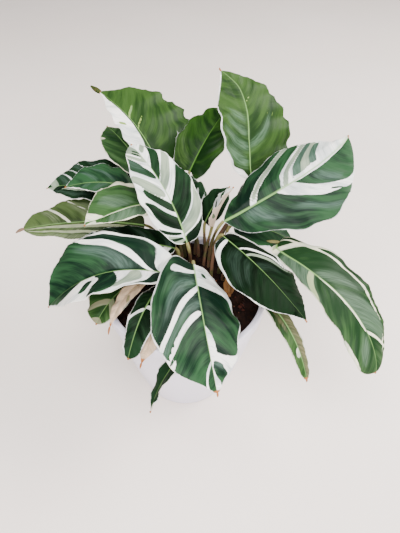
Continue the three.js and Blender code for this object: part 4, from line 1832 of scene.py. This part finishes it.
LEAVES = (
    Leaf(
        "leaf_front", STRIPED, (6, 12), (6, -6, 150), (25, -94, 120), (28, 39), widest=0.52,
        roll=-8, bow=9, sway=3, fold=(-5, 25), curl=(20, 25), wave=(1.5, 4, 0.1), lean=0.25,
        sweep=1.0, margin=(1.3, 0.9), fullness=(0.55, 0.62), lobe=(3, 19), fresh=-0.12,
        dry_tip=3.0, tail=3, strokes=FRONT_STROKES,
    ),
    Leaf(
        "leaf_front_left", STRIPED, (-3, 15), (-17, -15, 150), (-99, -35, 130), (28, 34),
        widest=0.5, bow=14, sway=4, fold=(20, 25), curl=(10, 15), wave=(1.5, 4, 0.3), shift=-0.08,
        margin=(1.2, 0.5), lobe=(9, 17), fresh=-0.12, strokes=FRONT_LEFT_STROKES,
    ),
    Leaf(
        "leaf_front_right", INKY, (20, 9), (28, 14, 162), (86, -48, 140), (28, 30), widest=0.44,
        bow=8, fold=(-16, 10), curl=(20, 20), wave=(1.2, 4, 0.6), shift=0.1, margin=(0.5, 0.8),
        rib=0.5, fullness=(0.55, 0.8), lobe=(10, 4), dry_tip=2.0, strokes=FRONT_RIGHT_STROKES,
    ),
    Leaf(
        "leaf_right_drooping", LIGHT, (27, 22), (73, 22, 150), (143, -62, 100), (24, 22),
        widest=0.52, bow=20, sway=-5, fold=(5, 0), curl=(20, 20), wave=(1.5, 4, 0.2), shift=0.2,
        drift=-0.9, lean=1.0, sweep=0.6, margin=(0.3, 0.8), point=(0.1, -0.2),
        fullness=(0.42, 0.34), lobe=(6, 6), fresh=-0.24, strokes=DROOPING_STROKES,
    ),
    Leaf(
        "leaf_right_large", STRIPED, (18, 30), (28, 29, 164), (122, 76, 215), (26, 49),
        widest=0.58, bow=6, fold=(0, -25), curl=(10, 15), wave=(1.8, 4, 0.0), shift=0.2,
        margin=(0.6, 0.7), point=(0.85, 0.0), point_from=(0.62, 0.8), rib=0.8, lobe=(3, 7),
        strokes=RIGHT_LARGE_STROKES,
    ),
    Leaf(
        "leaf_right_under", STRIPED, (30, 31), (38, 44, 149), (90, 41, 134), (23, 24), bow=5,
        wave=(1, 3, 0.4), fresh=0.05,
    ),
    Leaf(
        "leaf_top_right", SUNLIT, (20, 39), (54, 80, 172), (22, 127, 242), (23, 42), widest=0.38,
        sway=4, fold=(0, 10), wave=(1.5, 5, 0.2), shift=0.08, drift=0.6, margin=(1.6, 0.2),
        scallop=(0.5, 3.0), tail=2.5, tail_droop=-40, strokes=TOP_RIGHT_STROKES,
    ),
    Leaf(
        "leaf_top_left", SUNLIT, (2, 36), (-27, 97, 171), (-83, 141, 215), (20, 52), widest=0.33,
        sway=5, fold=(0, 10), wave=(1.5, 5, 0.7), shift=-0.15, margin=(1.5, 0.2),
        scallop=(0.3, 5.5), tail=10, tail_half=2.4, tail_dry=0.35, tail_droop=-10, dry_tip=0.5,
        strokes=TOP_LEFT_STROKES,
    ),
    Leaf(
        "leaf_back_left_small", LIGHT, (-3, 41), (-42, 100, 159), (-84, 154, 176), (22, 14), bow=5,
        wave=(1, 4, 0.5), fresh=-0.05, strokes=(Stroke(L, PALE, 0.55, 0.08, 0.7),),
    ),
    Leaf(
        "leaf_left_high", STRIPED, (-9, 32), (-46, 82, 152), (-103, 62, 168), (16, 25), bow=7,
        fold=(10, 15), wave=(1, 4, 0.1), margin=(1.1, 0.4), fresh=0.1, strokes=HIGH_STROKES,
    ),
    Leaf(
        "leaf_striped_upright", DARK, (3, 22), (0, 16, 152), (-47, 74, 202), (24, 25), sway=3,
        wave=(1.5, 4, 0.8), lean=0.9, sweep=0.3, point=(-0.3, 0.0), strokes=UPRIGHT_STROKES,
    ),
    Leaf(
        "leaf_left_light", LIGHT, (-4, 26), (-23, 57, 160), (-75, 9, 172), (18, 23), bow=9,
        fold=(0, 20), shift=-0.3, margin=(1.2, 1.0), dry_tip=0.5, strokes=LIGHT_STROKES,
    ),
    Leaf(
        "leaf_back_left_striped", DARK, (-10, 38), (-50, 90, 140), (-132, 92, 145), (24, 34),
        bow=8, fold=(10, 20), wave=(1.2, 4, 0.2), strokes=BACK_STRIPED_STROKES,
    ),
    Leaf(
        "leaf_left_pale", PALE_OLIVE, (-12, 28), (-40, 62, 130), (-142, 45, 135), (16, 28),
        fold=(-25, 20), margin=(0.4, 0.5), tail=8, tail_half=1.6, dry_tip=1.5, point=(-0.2, -0.3),
        tail_dry=0.75, strokes=PALE_STROKES,
    ),
    # This leaf's dark finish also paints the shade that it lies in.
    Leaf(
        "leaf_left_dark", DARK, (-8, 18), (-10, 22, 140), (-94, 30, 136), (18, 18), bow=5,
        strokes=usual_strokes(8),
    ),
    Leaf(
        "leaf_front_left_low", OLIVE_BACKED, (-10, 10), (-44, -7, 126), (-65, -40, 118), (14, 20),
        wave=(1, 3, 0.2), margin=(0.8, 0.8), fresh=-0.25, point=(-0.3, -0.3), strokes=LOW_STROKES,
    ),
    Leaf(
        "leaf_front_left_narrow", CREAM, (-4, 8), (-18, -4, 139), (-53, -47, 124), (6, 6), sway=5,
        wave=(1, 3, 0.2), tail=6, dry_tip=5, strokes=WHITE_STROKES,
    ),
    Leaf(
        "leaf_rim_left", DARK, (0, 4), (-20, -11, 129), (-38, -66, 113), (13, 9), bow=11,
        wave=(1, 3, 0.2), margin=(0.9, 0.9), point=(-0.4, -0.4), fullness=(0.5, 0.5),
        strokes=RIM_LEFT_STROKES,
    ),
    Leaf(
        "leaf_rim_left_lower", CREAM, (5, 2), (-11, -19, 120), (-28, -70, 114), (9, 9),
        wave=(0.8, 3, 0.2), dry_tip=6, tail=4, strokes=WHITE_STROKES,
    ),
    Leaf(
        "leaf_rim_front_narrow", DARK, (11, 4), (16, -56, 130), (-20, -96, 95), (10, 9), roll=35,
        bow=7, fold=(20, 20), wave=(0.8, 3, 0.2), margin=(0.7, 0.8), fresh=0.2,
    ),
    Leaf(
        "leaf_rim_right", OLIVE_BACKED, (30, 15), (58, -14, 128), (91, -70, 100), (6, 8), bow=8,
        sway=-3, wave=(0.8, 3, 0.2), margin=(0.6, 0.7), fresh=-0.1, dry_tip=3, tail=2,
        point=(-0.4, -0.4), fullness=(0.5, 0.5), strokes=RIM_RIGHT_STROKES,
    ),
    Leaf(
        "leaf_top_centre", OLIVE, (9, 41), (-1, 86, 172), (29, 133, 206), (26, 20), bow=4,
        wave=(1, 3, 0.2), margin=(0.2, 0.4), scallop=(0.8, 0.4), point=(-0.4, -0.4), lobe=(3, 7),
        fullness=(0.45, 0.45), strokes=(Stroke(L, SHEEN, 0.1, 0.16, 0.3),),
    ),
    Leaf(
        "leaf_centre_small", DARK, (15, 41), (14, 57, 140), (33, 70, 168), (14, 14), bow=3,
        wave=(0.8, 3, 0.2),
    ),
    Leaf(
        "leaf_back_right", STRIPED, (30, 38), (52, 60, 129), (128, 100, 130), (20, 20), bow=8,
        curl=(20, 20), wave=(1.2, 4, 0.3), strokes=usual_strokes(12),
    ),
    Leaf(
        "leaf_back_middle", STRIPED, (25, 44), (46, 82, 140), (98, 142, 142), (16, 16), bow=8,
        curl=(20, 20), wave=(1.2, 4, 0.6), strokes=usual_strokes(15),
    ),
    Leaf(
        "leaf_back_left", STRIPED, (6, 45), (6, 68, 138), (-20, 130, 138), (19, 19), bow=8,
        curl=(20, 20), wave=(1.2, 4, 0.9), strokes=usual_strokes(21),
    ),
    Leaf(
        "leaf_centre_striped", STRIPED, (14, 31), (20, 45, 146), (34, 43, 186), (9, 9), bow=2,
        fold=(40, 40), curl=(20, 20), wave=(0.5, 2, 0.2), strokes=CENTRE_STROKES,
    ),
    Leaf(
        "sheath_dry", DRY, (35, -4), (35, -3, 116), (35, 6, 129), (5, 5), twist=20, bow=-2,
        fold=(20, 20), curl=(10, 10), wave=(0.5, 2, 0.2), margin=(-1.0, -1.0),
    ),
)


# ---- the room it is shown in ----


@dataclass(frozen=True)
class Lamp:
    """A square soft light, placed and sized in metres, with its power in watts."""

    name: str
    place: Triple
    size: float
    power: float
    colour: Colour

    def hang(self, aim: Triple) -> None:
        """Adds the light.

        Args:
            aim: The point that it faces.
        """
        lamp = bpy.data.lights.new(self.name, "AREA")
        lamp.size, lamp.energy, lamp.color = self.size, self.power, self.colour
        made = bpy.data.objects.new(self.name, lamp)
        turn = (Vector(aim) - Vector(self.place)).to_track_quat("-Z", "Y")
        made.matrix_world = Matrix.Translation(self.place) @ turn.to_matrix().to_4x4()
        bpy.context.scene.collection.objects.link(made)


LAMPS = (
    Lamp("window", (1.5, 0.4, 1.4), 1.2, 85.0, (1.0, 0.97, 0.94)),
    Lamp("ceiling", (-0.2, -0.7, 1.8), 1.4, 80.0, (1.0, 0.97, 0.95)),
    Lamp("front_fill", (0.5, -1.6, 0.8), 1.2, 60.0, (0.97, 0.97, 1.0)),
)


@dataclass(frozen=True)
class Studio:
    """A pale floor, soft lights and the camera, sized in metres and degrees."""

    floor_size: float = 12.0
    camera_place: Triple = (0.01078, -0.23191, 0.37399)
    camera_pitch: float = 45.0
    camera_roll: float = 2.0
    lens: float = 28.7
    sky: Colour = (0.86, 0.90, 1.0)
    sky_strength: float = 0.4
    aim: Triple = (0.0, 0.02, 0.12)

    def floor(self, kit: GroupKit) -> None:
        """Lays the floor, which isn't part of the object.

        Args:
            kit: The shared node groups.
        """
        reach = self.floor_size / 2
        mesh = bpy.data.meshes.new("floor")
        corners = [(-reach, -reach, 0), (reach, -reach, 0), (reach, reach, 0), (-reach, reach, 0)]
        mesh.from_pydata(corners, [], [(0, 1, 2, 3)])
        floor = bpy.data.objects.new("floor", mesh)
        bpy.context.scene.collection.objects.link(floor)
        mesh.materials.append(FLOOR_FINISH.material(kit))

    def lights(self) -> None:
        """Sets the sky and the lamps."""
        world = bpy.data.worlds.new("studio")
        world.use_nodes = True
        sky = world.node_tree.nodes["Background"]
        sky.inputs["Color"].default_value = (*self.sky, 1.0)
        sky.inputs["Strength"].default_value = self.sky_strength
        bpy.context.scene.world = world
        for lamp in LAMPS:
            lamp.hang(self.aim)

    def camera(self) -> None:
        """Places the camera that looks down at the plant."""
        data = bpy.data.cameras.new("view")
        data.lens = self.lens
        data.clip_start = 0.01
        made = bpy.data.objects.new("view", data)
        pitch = Matrix.Rotation(math.radians(self.camera_pitch), 4, "X")
        roll = Matrix.Rotation(math.radians(self.camera_roll), 4, "Z")
        made.matrix_world = Matrix.Translation(self.camera_place) @ pitch @ roll
        bpy.context.scene.collection.objects.link(made)
        bpy.context.scene.camera = made


@dataclass(frozen=True)
class Plant:
    """The pot, the soil in it and every leaf."""

    pot: Pot
    soil: Soil
    leaves: tuple[Leaf, ...]

    def build(self, kit: GroupKit) -> None:
        """Builds and dresses every piece.

        Args:
            kit: The shared node groups.
        """
        for part in (self.pot, self.soil):
            piece = part.build()
            part.dress(piece, kit)
            log.info("%s: %d faces", piece.name, len(piece.data.polygons))
        finishes = {leaf.finish.name: leaf.finish for leaf in self.leaves}
        materials = {name: finish.material(kit) for name, finish in finishes.items()}
        for leaf in self.leaves:
            piece = leaf.build()
            leaf.dress(piece, materials)
            log.info("%s: %d faces", piece.name, len(piece.data.polygons))


def main() -> None:
    """Builds the plant, the studio and the camera."""
    logging.basicConfig(level=logging.INFO, format="%(name)s: %(message)s")
    kit = GroupKit()
    studio = Studio()
    studio.camera()
    studio.lights()
    studio.floor(kit)
    pot = Pot()
    Plant(pot, Soil(pot), LEAVES).build(kit)


if __name__ == "__main__":
    main()
